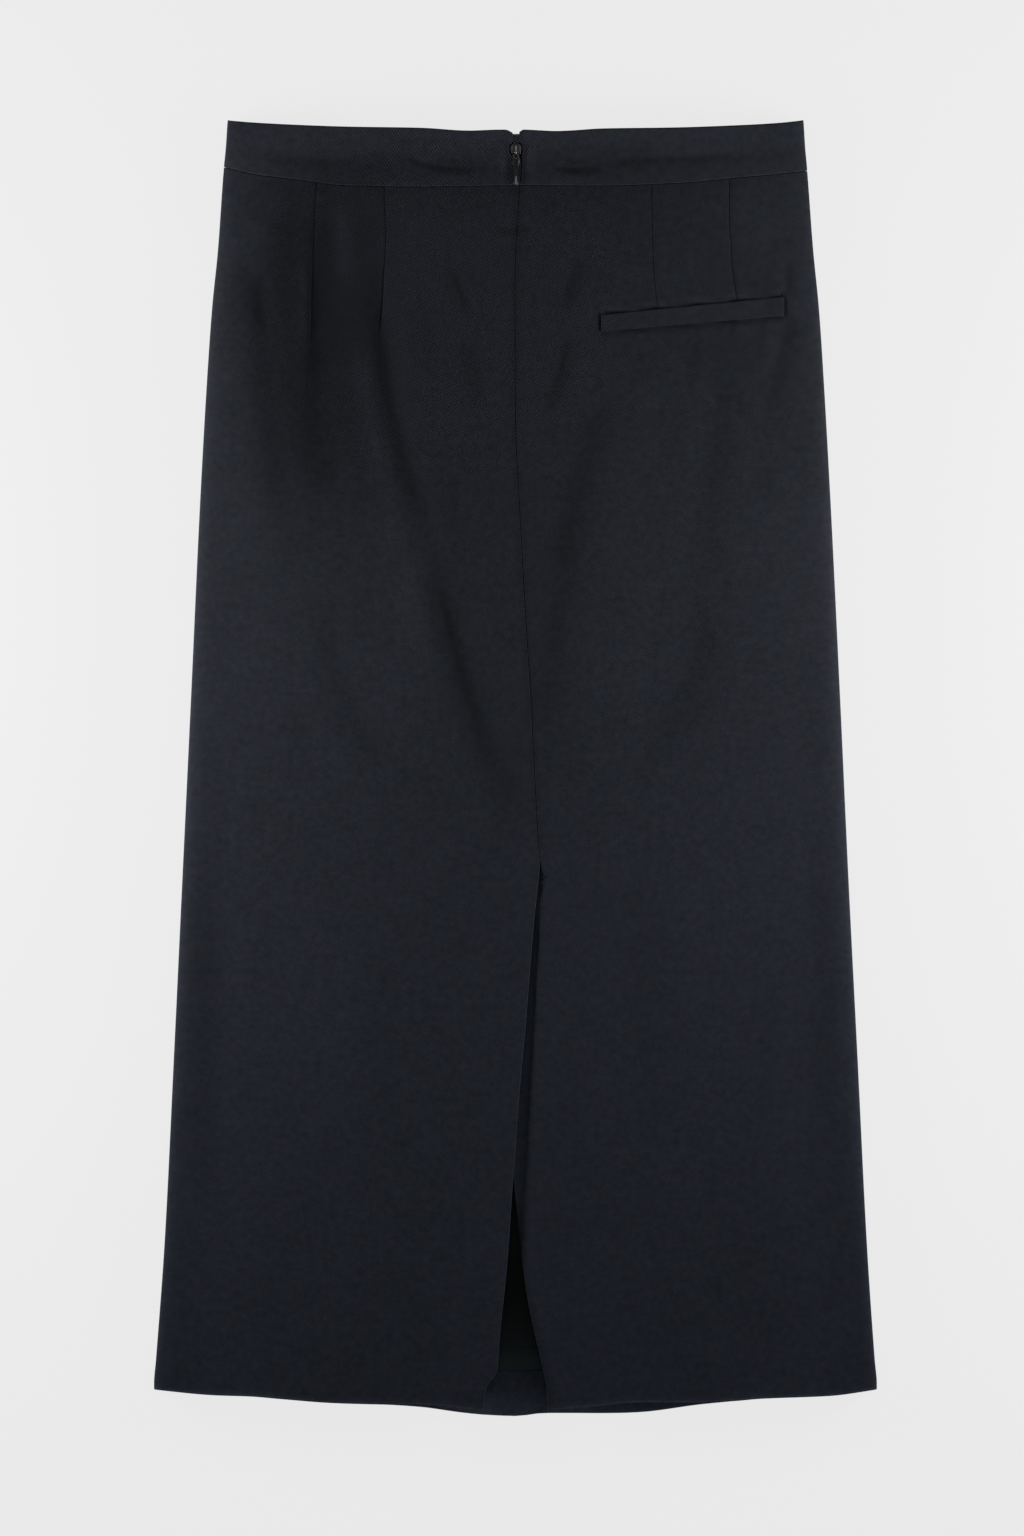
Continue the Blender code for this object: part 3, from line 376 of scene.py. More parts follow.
def painted_shading_at(x, y):
    """Share of the cloth's lightness that stays under painted shade; above 1 where light is painted."""
    keep = np.ones(x.shape)
    for row in FOLDS:
        keep = keep * (1.0 - fold(row, x, y)[1])
    for row in PAINTED_SHADING:
        f = dict(zip(PAINTED_SHADING_COLUMNS, row))
        far = ((x - f["x"]) / f["rx"]) ** 2 + ((y - f["y"]) / f["ry"]) ** 2
        keep = keep * (1.0 - f["painted_shading"] * np.exp(-far))
    # painted shade on the curve of the sides, fading out towards the waist, and a painted highlight along the hem's
    # fold
    keep = keep * (1.0 - 0.17 * smooth(0.83, 0.97, np.abs(across(x, y))) * smooth(400.0, 200.0, y))
    # the centre seam and the line under the welt hold a little shade
    keep = keep * (1.0 - 0.20 * smooth(-90.0, -40.0, y) * bell(x - centre_at(y), 2.8))
    return keep * (1.0 + 0.95 * bell(y - hem_back_at(x) - 0.5, 1.4))


def crown_z(x, y, detail=True):
    """Height of the back's outer face, without darts and laps."""
    x, y = np.broadcast_arrays(np.asarray(x, float), np.asarray(y, float))
    s = np.minimum(1.0, np.abs(across(x, y)))
    p = power_at(y)
    side = side_at(y)
    arch = np.power(np.clip(1.0 - s ** p, 0.0, 1.0), 1.0 / p)
    z = side + (crown_at(y) - side) * arch
    if detail:
        calm = (1.0 - smooth(0.88, 0.985, s)) * (1.0 - smooth(378.0, 408.0, y))
        hem_calm = 1.0 - 0.6 * smooth(-380.0, -445.0, y)
        z = z + calm * hem_calm * fold_relief(x, y)
    return z


def dart_line(dart, y):
    """The dart's line and how far down it a height is: 0 at the waist, 1 at its tip."""
    return curve(dart, "y", "x")(y), (406.0 - y) / (406.0 - dart["y"][0])


def dart_relief(darts, x, y):
    """A stitched line in a fine groove, the take-up's bulk beside it, and the
    small bubble where the dart runs out."""
    z = np.zeros(x.shape)
    for dart in darts:
        line, t = dart_line(dart, y)
        live = 1.0 - smooth(0.86, 1.02, t) * dart["tip"]
        live = live * np.where(dart["tip"] < 0.5, 1.0 - smooth(1.0, 1.03, t), 1.0)
        d = x - line
        z -= 0.20 * live * bell(d, 0.55)
        z -= 0.14 * live * bell(d, 2.2)
        wide = 2.0 + 10.0 * np.clip(1.0 - t, 0.0, 1.0)
        side = d * dart["bulk"]
        z += 0.28 * live * smooth(-0.2, 1.0, side) * (1.0 - smooth(wide, wide + 4.0, side))
        z += 0.35 * dart["tip"] * bell(d, 9.0) * bell(y - (dart["y"][0] - 14.0), 16.0)
    return z


def welt_rows(x):
    t = np.clip((x - WELT["x0"]) / (WELT["x1"] - WELT["x0"]), 0.0, 1.0)
    return (WELT["top0"] + (WELT["top1"] - WELT["top0"]) * t,
            WELT["low0"] + (WELT["low1"] - WELT["low0"]) * t)


def pocket_relief(x, y):
    """The panel sinks under the welt, with the open mouth along its top."""
    high, low = welt_rows(x)
    inside = (smooth(WELT["x0"] - 0.5, WELT["x0"] + 0.3, x)
              * (1.0 - smooth(WELT["x1"] - 0.3, WELT["x1"] + 0.5, x)))
    z = -0.95 * inside * smooth(low - 0.5, low + 0.3, y) * (1.0 - smooth(high - 0.3, high + 0.5, y))
    z -= 1.25 * inside * bell(y - high - 0.1, 0.85)
    z -= 0.55 * inside * bell(y - low + 0.1, 0.7)
    band = smooth(low - 1.0, low, y) * (1.0 - smooth(high, high + 1.0, y))
    z -= 0.15 * band * (bell(x - WELT["x0"], 0.7) + bell(x - WELT["x1"], 0.7))
    # the cloth above the mouth hangs a little proud of it
    z += 0.35 * inside * bell(y - high - 4.5, 3.2)
    z += 0.25 * inside * bell(y - low + 5.0, 4.0)
    return z


def pocket_painted_shade(x, y):
    """Painted shade in the mouth over the welt and in the line under it."""
    high, low = welt_rows(x)
    along = smooth(WELT["x0"] - 1.0, WELT["x0"] + 2.0, x) * (1.0 - smooth(WELT["x1"] - 2.0, WELT["x1"] + 1.0, x))
    return (1.0 - 0.38 * along * bell(y - high - 0.6, 1.2)) * (1.0 - 0.50 * along * bell(y - low + 0.9, 1.1))


def seam_pucker(x, y):
    """The centre-back seam's valley, with the tiny pull of its stitches."""
    d = np.abs(x - centre_at(y))
    above = smooth(-72.0, -50.0, y)
    valley = 0.20 * bell(d, 0.9) + 0.30 * bell(d, 3.4)
    pull = 0.14 * drift(x * 0.2, y, 11.0, 21) * bell(d - 4.0, 4.5)
    return above * (pull - valley * (1.0 + 0.25 * drift(0.0 * x, y, 17.0, 22)))


def left_z(x, y):
    z = crown_z(x, y) + dart_relief(DARTS_LEFT, x, y) + seam_pucker(x, y)
    # the flap rests on the under layer, so it rises a little towards its edge
    rise = np.where(y < -66.0, 0.22 * step_at(y), 0.0)
    return z + rise * (1.0 - smooth(0.0, 46.0, flap_at(y) - x))


def right_z(x, y):
    z = (crown_z(x, y) + dart_relief(DARTS_RIGHT, x, y) + pocket_relief(x, y)
         + seam_pucker(x, y))
    # under the flap it lies a step lower, and climbs back out beside its edge
    low = np.where(y < -66.0, 0.78 * step_at(y), 0.0)
    beside = (x - flap_at(y) - 0.4) / hollow_at(y)
    return z - low * (1.0 - smooth(0.0, 1.25, beside))


def hollow_painted_shading(x, y):
    """Painted light on the right back's floor in the hollow beside the flap's edge,
    where its shadow falls, and painted shade where the cloth rolls in at its edge."""
    beside = np.maximum((x - flap_at(y)) / hollow_at(y), 0.0)
    floor = smooth(-66.0, -84.0, y) * (1.0 - smooth(0.10, 0.85, beside))
    rolled = smooth(-300.0, -335.0, y) * bell(x - under_at(y), 3.4)
    lift = 1.25 - 0.35 * smooth(-200.0, -270.0, y)
    return (1.0 + lift * floor * (1.0 - smooth(-296.0, -330.0, y))) * (1.0 - 0.30 * rolled)


# ------------------------------------------------------------------- shell maker
def rounded(d, radius):
    """Half-round edge: 0 on the edge, 1 from the radius inwards."""
    t = np.clip(d / radius, 0.0, 1.0)
    return np.sqrt(np.clip(1.0 - (1.0 - t) ** 2, 0.0, 1.0))


def shell(name, P, thick, u, v, side_left=False, side_right=False, up=True, radius=None, painted_shading=None,
          painted_shading_in=None):
    """Closed cloth shell under the grid of outer points P, shape (rows, cols, 3).

    thick is the wall at each point, u and v are the weave's coordinates in mm.
    The rims are half-round, and the two faces share their rim points.
    """
    rows, cols = P.shape[:2]
    du = np.gradient(P, axis=1)
    dv = np.gradient(P, axis=0)
    N = np.cross(dv, du)
    N /= np.maximum(np.linalg.norm(N, axis=2, keepdims=True), 1e-12)
    flip = np.sign(N[:, cols // 2, 2].mean())
    N *= flip if up else -flip
    if side_left:
        N[:, 0] = (-1.0, 0.0, 0.0)
    if side_right:
        N[:, -1] = (1.0, 0.0, 0.0)
    T = np.broadcast_to(np.asarray(thick, float), (rows, cols))
    step_u = np.linalg.norm(np.diff(P, axis=1), axis=2)
    step_v = np.linalg.norm(np.diff(P, axis=0), axis=2)
    zero_u, zero_v = np.zeros((rows, 1)), np.zeros((1, cols))
    from_u0 = np.concatenate([zero_u, np.cumsum(step_u, axis=1)], axis=1)
    from_v0 = np.concatenate([zero_v, np.cumsum(step_v, axis=0)], axis=0)
    from_u1 = from_u0[:, -1:] - from_u0
    from_v1 = from_v0[-1:] - from_v0
    r = 0.5 * T if radius is None else np.minimum(0.5 * T, radius)
    e = (rounded(from_u0, r) * rounded(from_u1, r) * rounded(from_v0, r) * rounded(from_v1, r))
    mid = P - N * (0.5 * T)[..., None]
    half = N * (0.5 * T * e)[..., None]
    outer, inner = mid + half, mid - half
    rim = np.zeros((rows, cols), bool)
    rim[0], rim[-1], rim[:, 0], rim[:, -1] = True, True, True, True

    index_out = np.arange(rows * cols).reshape(rows, cols)
    index_in = np.where(rim, index_out, 0)
    free = ~rim
    index_in[free] = rows * cols + np.arange(free.sum())
    verts = np.concatenate([outer.reshape(-1, 3), inner[free]]) * MM
    a, b = index_out[:-1, :-1], index_out[:-1, 1:]
    c, d = index_out[1:, 1:], index_out[1:, :-1]
    top = np.stack([a, d, c, b], axis=-1).reshape(-1, 4)
    a, b = index_in[:-1, :-1], index_in[:-1, 1:]
    c, d = index_in[1:, 1:], index_in[1:, :-1]
    low = np.stack([a, b, c, d], axis=-1).reshape(-1, 4)
    if not up:
        top, low = top[:, ::-1], low[:, ::-1]
    faces = np.concatenate([top, low])
    U = np.concatenate([np.asarray(u, float).reshape(-1), np.asarray(u, float)[free]])
    V = np.concatenate([np.asarray(v, float).reshape(-1), np.asarray(v, float)[free]])
    painted_shading = np.ones((rows, cols)) if painted_shading is None else np.broadcast_to(painted_shading, (rows, cols))
    painted_shading_in = painted_shading if painted_shading_in is None else np.broadcast_to(painted_shading_in, (rows, cols))
    keep = np.concatenate([painted_shading.reshape(-1), painted_shading_in[free]])
    return make_mesh(name, verts, faces, U * MM, V * MM, keep)


def make_mesh(name, verts, faces, U=None, V=None, painted_shading=None):
    mesh = bpy.data.meshes.new(name)
    n, k = len(verts), faces.shape[1]
    mesh.vertices.add(n)
    mesh.vertices.foreach_set("co", np.ascontiguousarray(verts, np.float32).ravel())
    mesh.loops.add(faces.size)
    mesh.loops.foreach_set("vertex_index", np.ascontiguousarray(faces, np.int32).ravel())
    mesh.polygons.add(len(faces))
    mesh.polygons.foreach_set("loop_start", np.arange(0, faces.size, k, dtype=np.int32))
    mesh.polygons.foreach_set("loop_total", np.full(len(faces), k, dtype=np.int32))
    mesh.update(calc_edges=True)
    mesh.validate()
    if U is not None:
        layer = mesh.uv_layers.new(name="weave")
        idx = faces.ravel()
        layer.data.foreach_set("uv", np.stack([U[idx], V[idx]], axis=1).astype(np.float32).ravel())
    if painted_shading is not None:
        layer = mesh.attributes.new("painted_shading", "FLOAT", "POINT")
        layer.data.foreach_set("value", painted_shading.astype(np.float32))
    mesh.shade_smooth()
    obj = bpy.data.objects.new(name, mesh)
    bpy.context.scene.collection.objects.link(obj)
    return obj


def excess_from(P, start):
    """How much longer the cloth is than its plan, counted from column start."""
    step = np.linalg.norm(np.diff(P, axis=1), axis=2) - np.abs(np.diff(P[..., 0], axis=1))
    total = np.concatenate([np.zeros((P.shape[0], 1)), np.cumsum(step, axis=1)], axis=1)
    return total - total[:, start:start + 1]


EDGE_STEPS = (0.0, 0.05, 0.16, 0.34, 0.6, 0.95, 1.5, 2.3)


# ---------------------------------------------------------------- the back panels
def panel_row_y(base, x, seam_side, hem_side):
    near_waist = smooth(330.0, seam_side, base)
    near_hem = 1.0 - smooth(hem_side, -300.0, base)
    return (base + near_waist * (seam_at(x) - 0.5 * SEAM_GAP - seam_side)
            + near_hem * (hem_back_at(x) - hem_side))


def panel_columns(darts, on_left, n_side=46, n_mid=18, n_centre=38):
    """Shares of the way from the side seam to the centre, as (zone, part):
    dense at the side's curve, at both dart lines and at the centre edge."""
    out = []
    for i in range(n_side):
        out.append((0, (i / n_side) ** 2.3))
    for k in (0.935, 0.962, 0.976, 0.986, 0.9925):
        out.append((0, k))
    out += [(1, 0.0)]
    for k in (0.010, 0.020, 0.034, 0.055, 0.09):
        out.append((1, k))
    for i in range(1, n_mid):
        out.append((1, 0.09 + (0.91 - 0.09) * i / n_mid))
    for k in (0.91, 0.945, 0.966, 0.980, 0.990):
        out.append((1, k))
    out += [(2, 0.0)]
    for k in (0.005, 0.010, 0.018, 0.03):
        out.append((2, k))
    for i in range(1, n_centre):
        out.append((2, 0.03 + (0.97 - 0.03) * i / n_centre))
    for d in EDGE_STEPS[::-1]:
        out.append((2, 1.0 - d / 96.0))
    out = sorted(set(out))
    return out


def back_panel(name, on_left):
    seam_side = float(seam_at(-204.0 if on_left else 204.0)) - 0.5 * SEAM_GAP
    hem_side = float(hem_back_at(-252.7))
    rows = [seam_side - d for d in EDGE_STEPS]
    rows += list(np.arange(seam_side - 4.0, -60.0, -3.0))
    rows += list(np.arange(-60.0, -96.0, -1.5))
    rows += list(np.arange(-97.0, hem_side + 4.0, -3.0))
    rows += [hem_side + d for d in EDGE_STEPS[::-1]]
    base = np.array(sorted(set(round(r, 4) for r in rows), reverse=True))[:, None]
    darts = DARTS_LEFT if on_left else DARTS_RIGHT
    order = sorted(darts, key=lambda d: -abs(d["x"][0]))
    columns = panel_columns(darts, on_left)
    zone = np.array([c[0] for c in columns])[None, :]
    part = np.array([c[1] for c in columns])[None, :]

    y = np.broadcast_to(base, (len(base), len(columns))).copy()
    for _ in range(5):
        side = left_at(y) if on_left else right_at(y)
        gap = -0.5 * SEAM_GAP if on_left else 0.5 * SEAM_GAP
        seam = centre_at(y) + gap
        slit = flap_at(y) if on_left else under_at(y)
        edge = np.where(y >= -66.0, seam, slit)
        # darts are placed on the plain width, so the slit's step doesn't shear them
        knots = []
        for dart in order:
            line, t = dart_line(dart, y)
            x_tip, y_tip = dart["x"][0], dart["y"][0]
            rest = side * (x_tip / (left_at(y_tip) if on_left else right_at(y_tip)))
            knots.append(line + (rest - line) * smooth(1.0, 1.9, t))
        k0, k1, k2, k3 = side, knots[0], knots[1], edge
        x = np.where(zone == 0, k0 + (k1 - k0) * part,
                     np.where(zone == 1, k1 + (k2 - k1) * part, k2 + (k3 - k2) * part))
        y = panel_row_y(np.broadcast_to(base, x.shape), x, seam_side, hem_side)
    z = left_z(x, y) if on_left else right_z(x, y)
    # the top edge tucks in under the waistband
    from_seam = seam_at(x) - y
    z = z - 0.05 * bell(from_seam, 1.0) - 0.12 * bell(from_seam, 4.0)
    P = np.stack([x, y, z], axis=-1)
    P[:, 0, 2] = side_at(y[:, 0]) + 0.5 * SEAM_GAP
    # walls: doubled at the turned-up hem and along the slit's folded edge
    hem_at = hem_back_at(x)
    T = WALL + (HEM_WALL - WALL) * (1.0 - smooth(HEM_DEPTH - 0.8, HEM_DEPTH + 0.8, y - hem_at))
    edge_d = (flap_at(y) - x) if on_left else (x - under_at(y))
    faced = (1.0 - smooth(34.0, 36.0, edge_d)) * (1.0 - smooth(-100.0, -84.0, y))
    T = np.maximum(T, WALL + (FACING_WALL - WALL) * faced)
    if not on_left:
        P, T = P[:, ::-1], T[:, ::-1]
    cols = P.shape[1]
    extra = excess_from(P, cols - 1 if on_left else 0)
    u = P[..., 0] + extra
    v = P[..., 1]
    painted_shading = painted_shading_at(P[..., 0], P[..., 1])
    if not on_left:
        painted_shading = painted_shading * hollow_painted_shading(P[..., 0], P[..., 1]) * pocket_painted_shade(P[..., 0], P[..., 1])
    return shell(name, P, T, u, v, side_left=on_left, side_right=not on_left, radius=0.34, painted_shading=painted_shading)


# ----------------------------------------------------------------- front pieces
def front_seam_at(x):
    return seam_at(x) - 3.0 * (1.0 - across(x, 410.0) ** 2)


def front_top_at(x):
    return top_at(x) - 6.0 * (1.0 - np.minimum(1.0, across(x, 446.0) ** 2))


def front_relief(x, y):
    """Faint creases in the underside: they only rise from the surface."""
    out = np.zeros(np.broadcast(x, y).shape)
    rows = ((-120.0, 300.0, -104.0, 180.0, -96.0, 40.0, 9.0, 7.0, 0.9),
            (84.0, 330.0, 96.0, 230.0, 88.0, 110.0, 8.0, 9.0, 0.8),
            (-30.0, 120.0, -10.0, 20.0, 24.0, -90.0, 10.0, 12.0, 0.7),
            (150.0, 20.0, 138.0, -120.0, 150.0, -260.0, 10.0, 10.0, 0.8),
            (-170.0, -60.0, -176.0, -190.0, -160.0, -330.0, 11.0, 9.0, 0.7))
    for row in rows:
        out = np.maximum(out, -trough(row, x, y))
    return np.maximum(out - 0.05, 0.0)


FRONT_DARTS = ((-118.0, -112.0, 318.0), (118.0, 112.0, 318.0))


def front_grid(height_rows, arc=10, flat=64):
    """Points of the front's outer face: curled up at both sides, flat between."""
    grid = []
    for height_at in height_rows:
        y = np.full(2 * arc + flat + 1, float(height_at(np.zeros(1))[0]))
        for _ in range(4):
            lo, hi, r = left_at(y), right_at(y), side_at(y)
            a = 0.5 * np.pi * np.arange(arc) / arc
            x = np.empty(y.shape)
            z = np.zeros(y.shape)
            x[:arc] = lo[:arc] + r[:arc] * (1 - np.cos(a))
            z[:arc] = r[:arc] * (1 - np.sin(a))
            k = np.arange(flat + 1) / flat
            mid = slice(arc, arc + flat + 1)
            x[mid] = (lo + r)[mid] + (hi - lo - 2 * r)[mid] * k
            x[arc + flat + 1:] = hi[arc + flat + 1:] - r[arc + flat + 1:] * (1 - np.cos(a[::-1]))
            z[arc + flat + 1:] = r[arc + flat + 1:] * (1 - np.sin(a[::-1]))
            y = height_at(x)
        z[0] -= 0.5 * SEAM_GAP
        z[-1] -= 0.5 * SEAM_GAP
        grid.append(np.stack([x, y, z], axis=-1))
    return np.array(grid)


def front_panel():
    hem_side = float(hem_front_at(-252.7))
    bases = [("seam", d) for d in EDGE_STEPS]
    bases += [("body", b) for b in np.arange(408.0, -392.0, -6.0)]
    bases += [("body", b) for b in (-393.0, -393.8, -394.4, -395.0, -396.0)]
    bases += [("body", b) for b in np.arange(-400.0, hem_side + 4.0, -4.0)]
    bases += [("body", hem_side + d) for d in EDGE_STEPS[::-1]]
    rows = []
    for kind, b in bases:
        if kind == "seam":
            rows.append(lambda x, d=b: front_seam_at(x) - 0.5 * SEAM_GAP - d)
        else:
            rows.append(lambda x, b=b: b + smooth(330.0, 417.0, b) * (front_seam_at(x) - 417.0)
                        + (1.0 - smooth(hem_side, -300.0, b)) * (hem_front_at(x) - hem_side))
    P = front_grid(rows)
    x, y = P[..., 0].copy(), P[..., 1].copy()
    flat_part = 1.0 - smooth(0.93, 0.975, np.abs(across(x, y)))
    rise = front_relief(x, y) * flat_part * (1.0 - smooth(-330.0, -430.0, y))
    for x_top, x_tip, y_tip in FRONT_DARTS:
        t = np.clip((406.0 - y) / (406.0 - y_tip), 0.0, 1.2)
        rise += 0.5 * bell(x - x_top - (x_tip - x_top) * t, 0.9) * (1.0 - smooth(0.85, 1.02, t))
    P[..., 2] += rise * smooth(0.0, 6.0, front_seam_at(x) - y)
    T = WALL + (HEM_WALL - WALL) * (1.0 - smooth(HEM_DEPTH - 0.7, HEM_DEPTH + 0.7,
                                                 y - hem_front_at(x)))
    u = P[..., 0] + excess_from(P, P.shape[1] // 2)
    # painted light on the inner face of the turn-up, which lies in shade down in the slit
    above = y - hem_front_at(x)
    inside = 1.0 + (0.70 + 1.55 * bell(above, 15.0)) * (1.0 - smooth(HEM_DEPTH - 1.0, HEM_DEPTH + 0.5, above))
    # more painted light beside the flap, and painted shade under the other edge
    inside = inside * (1.0 + 0.40 * bell(x - flap_at(y), 12.0) - 0.12 * bell(x - under_at(y) + 6.0, 9.0))
    return shell("front_cloth", P, T, u, P[..., 1], side_left=True, side_right=True, up=False, painted_shading_in=inside)


def front_band():
    rows = []
    for d in EDGE_STEPS:
        rows.append(lambda x, d=d: front_top_at(x) - d)
    for s in np.linspace(0.09, 0.91, 12):
        rows.append(lambda x, s=s: front_top_at(x) + s * (front_seam_at(x) - front_top_at(x)))
    for d in EDGE_STEPS[::-1]:
        rows.append(lambda x, d=d: front_seam_at(x) + 0.5 * SEAM_GAP + d)
    P = front_grid(rows)
    u = P[..., 0] + excess_from(P, P.shape[1] // 2)
    return shell("band_front_cloth", P, BAND_WALL, u, P[..., 1], side_left=True,
                 side_right=True, up=False)


def front_lining():
    """Satin lining on the front's inside, loose over the turn-up."""
    hem_side = float(hem_front_at(-252.7))
    base = np.concatenate([[395.0, 394.7, 394.2], np.arange(388.0, -392.0, -7.0),
                           np.arange(-392.5, -403.0, -0.7)])
    end = LINING_END - float(hem_front_at(0.0)) + hem_side
    base = np.concatenate([base[base > end + 0.8], [end + 0.6, end + 0.35, end + 0.12, end]])[:, None]
    part = np.concatenate([[0.0, 0.0006, 0.0016], np.linspace(0.004, 0.996, 110), [0.9984, 0.9994, 1.0]])[None, :]
    y = np.broadcast_to(base, (base.shape[0], part.shape[1])).copy()
    for _ in range(4):
        lo, hi = left_at(y) + 11.0, right_at(y) - 11.0
        x = lo + (hi - lo) * part
        y = base + (1.0 - smooth(hem_side, -300.0, base)) * (hem_front_at(x) - hem_side)
        y = np.where(base > 390.0, front_seam_at(x) - 4.0 - (395.0 - base), y)
        # it hangs a little askew in the opening
        y = y - 2.2 * (x / 30.0) * bell(x, 34.0) * smooth(-395.0, -424.0, base)
    above_hem = y - hem_front_at(x)
    on_turn = 1.0 - smooth(HEM_DEPTH + 0.9, HEM_DEPTH + 4.2, above_hem)
    z = 1.0 + WALL + 0.35 + (HEM_WALL - WALL) * on_turn
    # loose satin: shallow ripples that die out at the rims
    ripple = (0.28 * np.sin(2 * np.pi * (x / 41.0 + 0.15 * np.sin(y / 60.0)) + 0.6)
              + 0.22 * np.sin(2 * np.pi * (x / 26.0 - y / 300.0) + 2.2)
              + 0.2 * np.sin(2 * np.pi * (y / 47.0 + x / 120.0)))
    z = z + np.maximum(ripple + 0.25, 0.0) * smooth(0.0, 12.0, x - lo) * smooth(0.0, 12.0, hi - x)
    # its own narrow hem, a fold 12 mm deep
    z = z + 0.25 * (1.0 - smooth(11.4, 12.4, y - y[-1:, :]))
    P = np.stack([x, y, z], axis=-1)
    # painted light on the lining, which lies in shade in the slit: more at the top of the gap and towards its hem, on
    # its own hem and beside the flap
    keep = 1.30 + 2.6 * smooth(-352.0, -425.0, y) ** 1.5 + 2.2 * smooth(-356.0, -318.0, y)
    keep = keep * (1.0 + 0.30 * (1.0 - smooth(12.6, 13.8, y - y[-1:, :])))
    keep = keep * (1.0 + 0.35 * smooth(-330.0, -400.0, y) * bell(x - flap_at(y), 9.0))
    return shell("lining_cloth", P, 0.95, P[..., 0], P[..., 1], painted_shading=keep)


# -------------------------------------------------------------------- waistband
# short crosswise creases: start, a point on the way, end, width above, below, depth, then the painted shade along it,
# how far beside its floor and how widely
BAND_CREASES = (
    (-82.0, 431.0, -66.0, 423.0, -50.0, 420.6, 2.2, 1.8, 0.7, 0.17, 0.0, 3.2),
    (-62.0, 421.6, -42.0, 418.4, -24.0, 420.6, 2.4, 2.0, 0.7, 0.24, 0.0, 4.4),
    (26.0, 421.6, 42.0, 418.4, 62.0, 421.4, 2.0, 1.7, 0.8, 0.20, 0.0, 3.4),
    (34.0, 418.0, 48.0, 416.0, 64.0, 418.6, 2.4, 2.0, 0.4, 0.10, 0.0, 2.8),
    (56.0, 422.0, 108.0, 426.4, 170.0, 426.6, 2.8, 2.8, 0.5, 0.13, 0.0, 4.4),
    (-166.0, 427.4, -146.0, 425.6, -128.0, 425.0, 4.0, 4.0, 0.15, 0.03, 0.0, 4.0),
    (-136.0, 424.0, -110.0, 426.6, -76.0, 428.0, 4.0, 4.0, 0.15, 0.02, 0.0, 4.0),
    (-110.0, 433.0, -90.0, 430.0, -70.0, 430.4, 3.0, 3.0, 0.15, 0.03, 0.0, 4.0),
    (-190.0, 436.0, -176.0, 431.0, -160.0, 431.0, 4.0, 4.0, 0.1, 0.0, 0.0, 3.0),
    (-24.0, 436.0, -15.0, 432.0, -7.0, 431.0, 2.4, 2.4, 0.25, 0.03, 0.0, 3.0),
    (10.0, 436.0, 18.0, 431.5, 28.0, 431.0, 2.6, 2.4, 0.25, 0.03, 0.0, 3.0),
)


def band_painted_shading(x, y):
    """Painted shading of the waistband: darker below, with painted highlights along and just above the seam."""
    keep = painted_shading_at(x, y)
    for row in BAND_CREASES:
        keep = keep * (1.0 - fold(row, x, y)[1])
    up = y - seam_at(x)
    centre = bell(x, 150.0)
    inner = 1.0 - 0.8 * smooth(160.0, 198.0, np.abs(x))
    keep = keep * (1.0 + inner * (0.06 + 0.13 * smooth(11.0, 22.0, up)))
    # painted shade along its top fold, which turns away from the light
    keep = keep * (1.0 - (0.30 + 0.28 * smooth(-10.0, 20.0, x)) * bell(top_cut(x) - y - 0.25, 0.75))
    # a painted highlight on the seam's turned edge, most of all towards the sides
    keep = keep * (1.0 + (0.10 + 0.25 * smooth(90.0, 180.0, np.abs(x))) * bell(up, 0.9))
    return keep * (1.0 + 0.14 * centre * bell(up - 2.6, 3.0))


def band_z(x, y):
    z = crown_z(x, y) + BAND_PROUD * (1.0 - 0.5 * smooth(80.0, 170.0, np.abs(x)))
    top, seam = top_cut(x), seam_at(x)
    share = (y - seam) / (top - seam)
    # pressed flat at its edges, a little full between them
    z = z + 0.40 * np.sin(np.pi * np.clip(share, 0.0, 1.0)) ** 0.7 - 0.20 - 0.10 * bell(x - ZIP_X, 9.0)
    for row in BAND_CREASES:
        z = z + fold(row, x, y)[0]
    # the allowances inside stand up above the seam, except beside the zip
    open_ = smooth(5.0, 30.0, np.abs(x - ZIP_X))
    z = z + 0.25 * open_ * bell(y - seam - 9.0, 6.0)
    z = z + 0.14 * open_ * drift(x, y * 1.5, 44.0, 5) * np.sin(np.pi * np.clip(share, 0, 1))
    # the ends fold back round the zip
    end = np.where(x < ZIP_X, end_left_at(y) - x, x - end_right_at(y))
    z = z - 0.08 * bell(end - 1.9, 0.55)
    z = z + 0.06 * bell(end - 0.6, 0.8)
    return z


def back_band(name, on_left):
    rows = [("top", d) for d in EDGE_STEPS]
    rows += [("share", s) for s in np.linspace(0.09, 0.92, 22)]
    rows += [("seam", d) for d in EDGE_STEPS[::-1]]
    n = 70
    part = [(i / n) ** 2.1 for i in range(n)]
    part += [1.0 - d / 205.0 for d in (4.6, 3.8, 3.1)]
    part += [1.0 - d / 205.0 for d in EDGE_STEPS[::-1]]
    part = np.array(sorted(set(part)))[None, :]
    y = np.full((len(rows), part.shape[1]), 430.0)
    for _ in range(5):
        side = left_at(y) if on_left else right_at(y)
        edge = end_left_at(y) if on_left else end_right_at(y)
        x = side + (edge - side) * part
        top, seam = top_cut(x), seam_at(x) + 0.5 * SEAM_GAP
        y = np.stack([top[k] - b if kind == "top" else
                      top[k] + b * (seam[k] - top[k]) if kind == "share" else
                      seam[k] + b for k, (kind, b) in enumerate(rows)])
    z = band_z(x, y)
    P = np.stack([x, y, z], axis=-1)
    P[:, 0, 2] = side_at(y[:, 0]) + 0.5 * SEAM_GAP
    if not on_left:
        P = P[:, ::-1]
    u = P[..., 0] + excess_from(P, P.shape[1] - 1 if on_left else 0)
    return shell(name, P, BAND_WALL, u, P[..., 1], side_left=on_left, side_right=not on_left,
                 radius=0.4, painted_shading=band_painted_shading(P[..., 0], P[..., 1]))


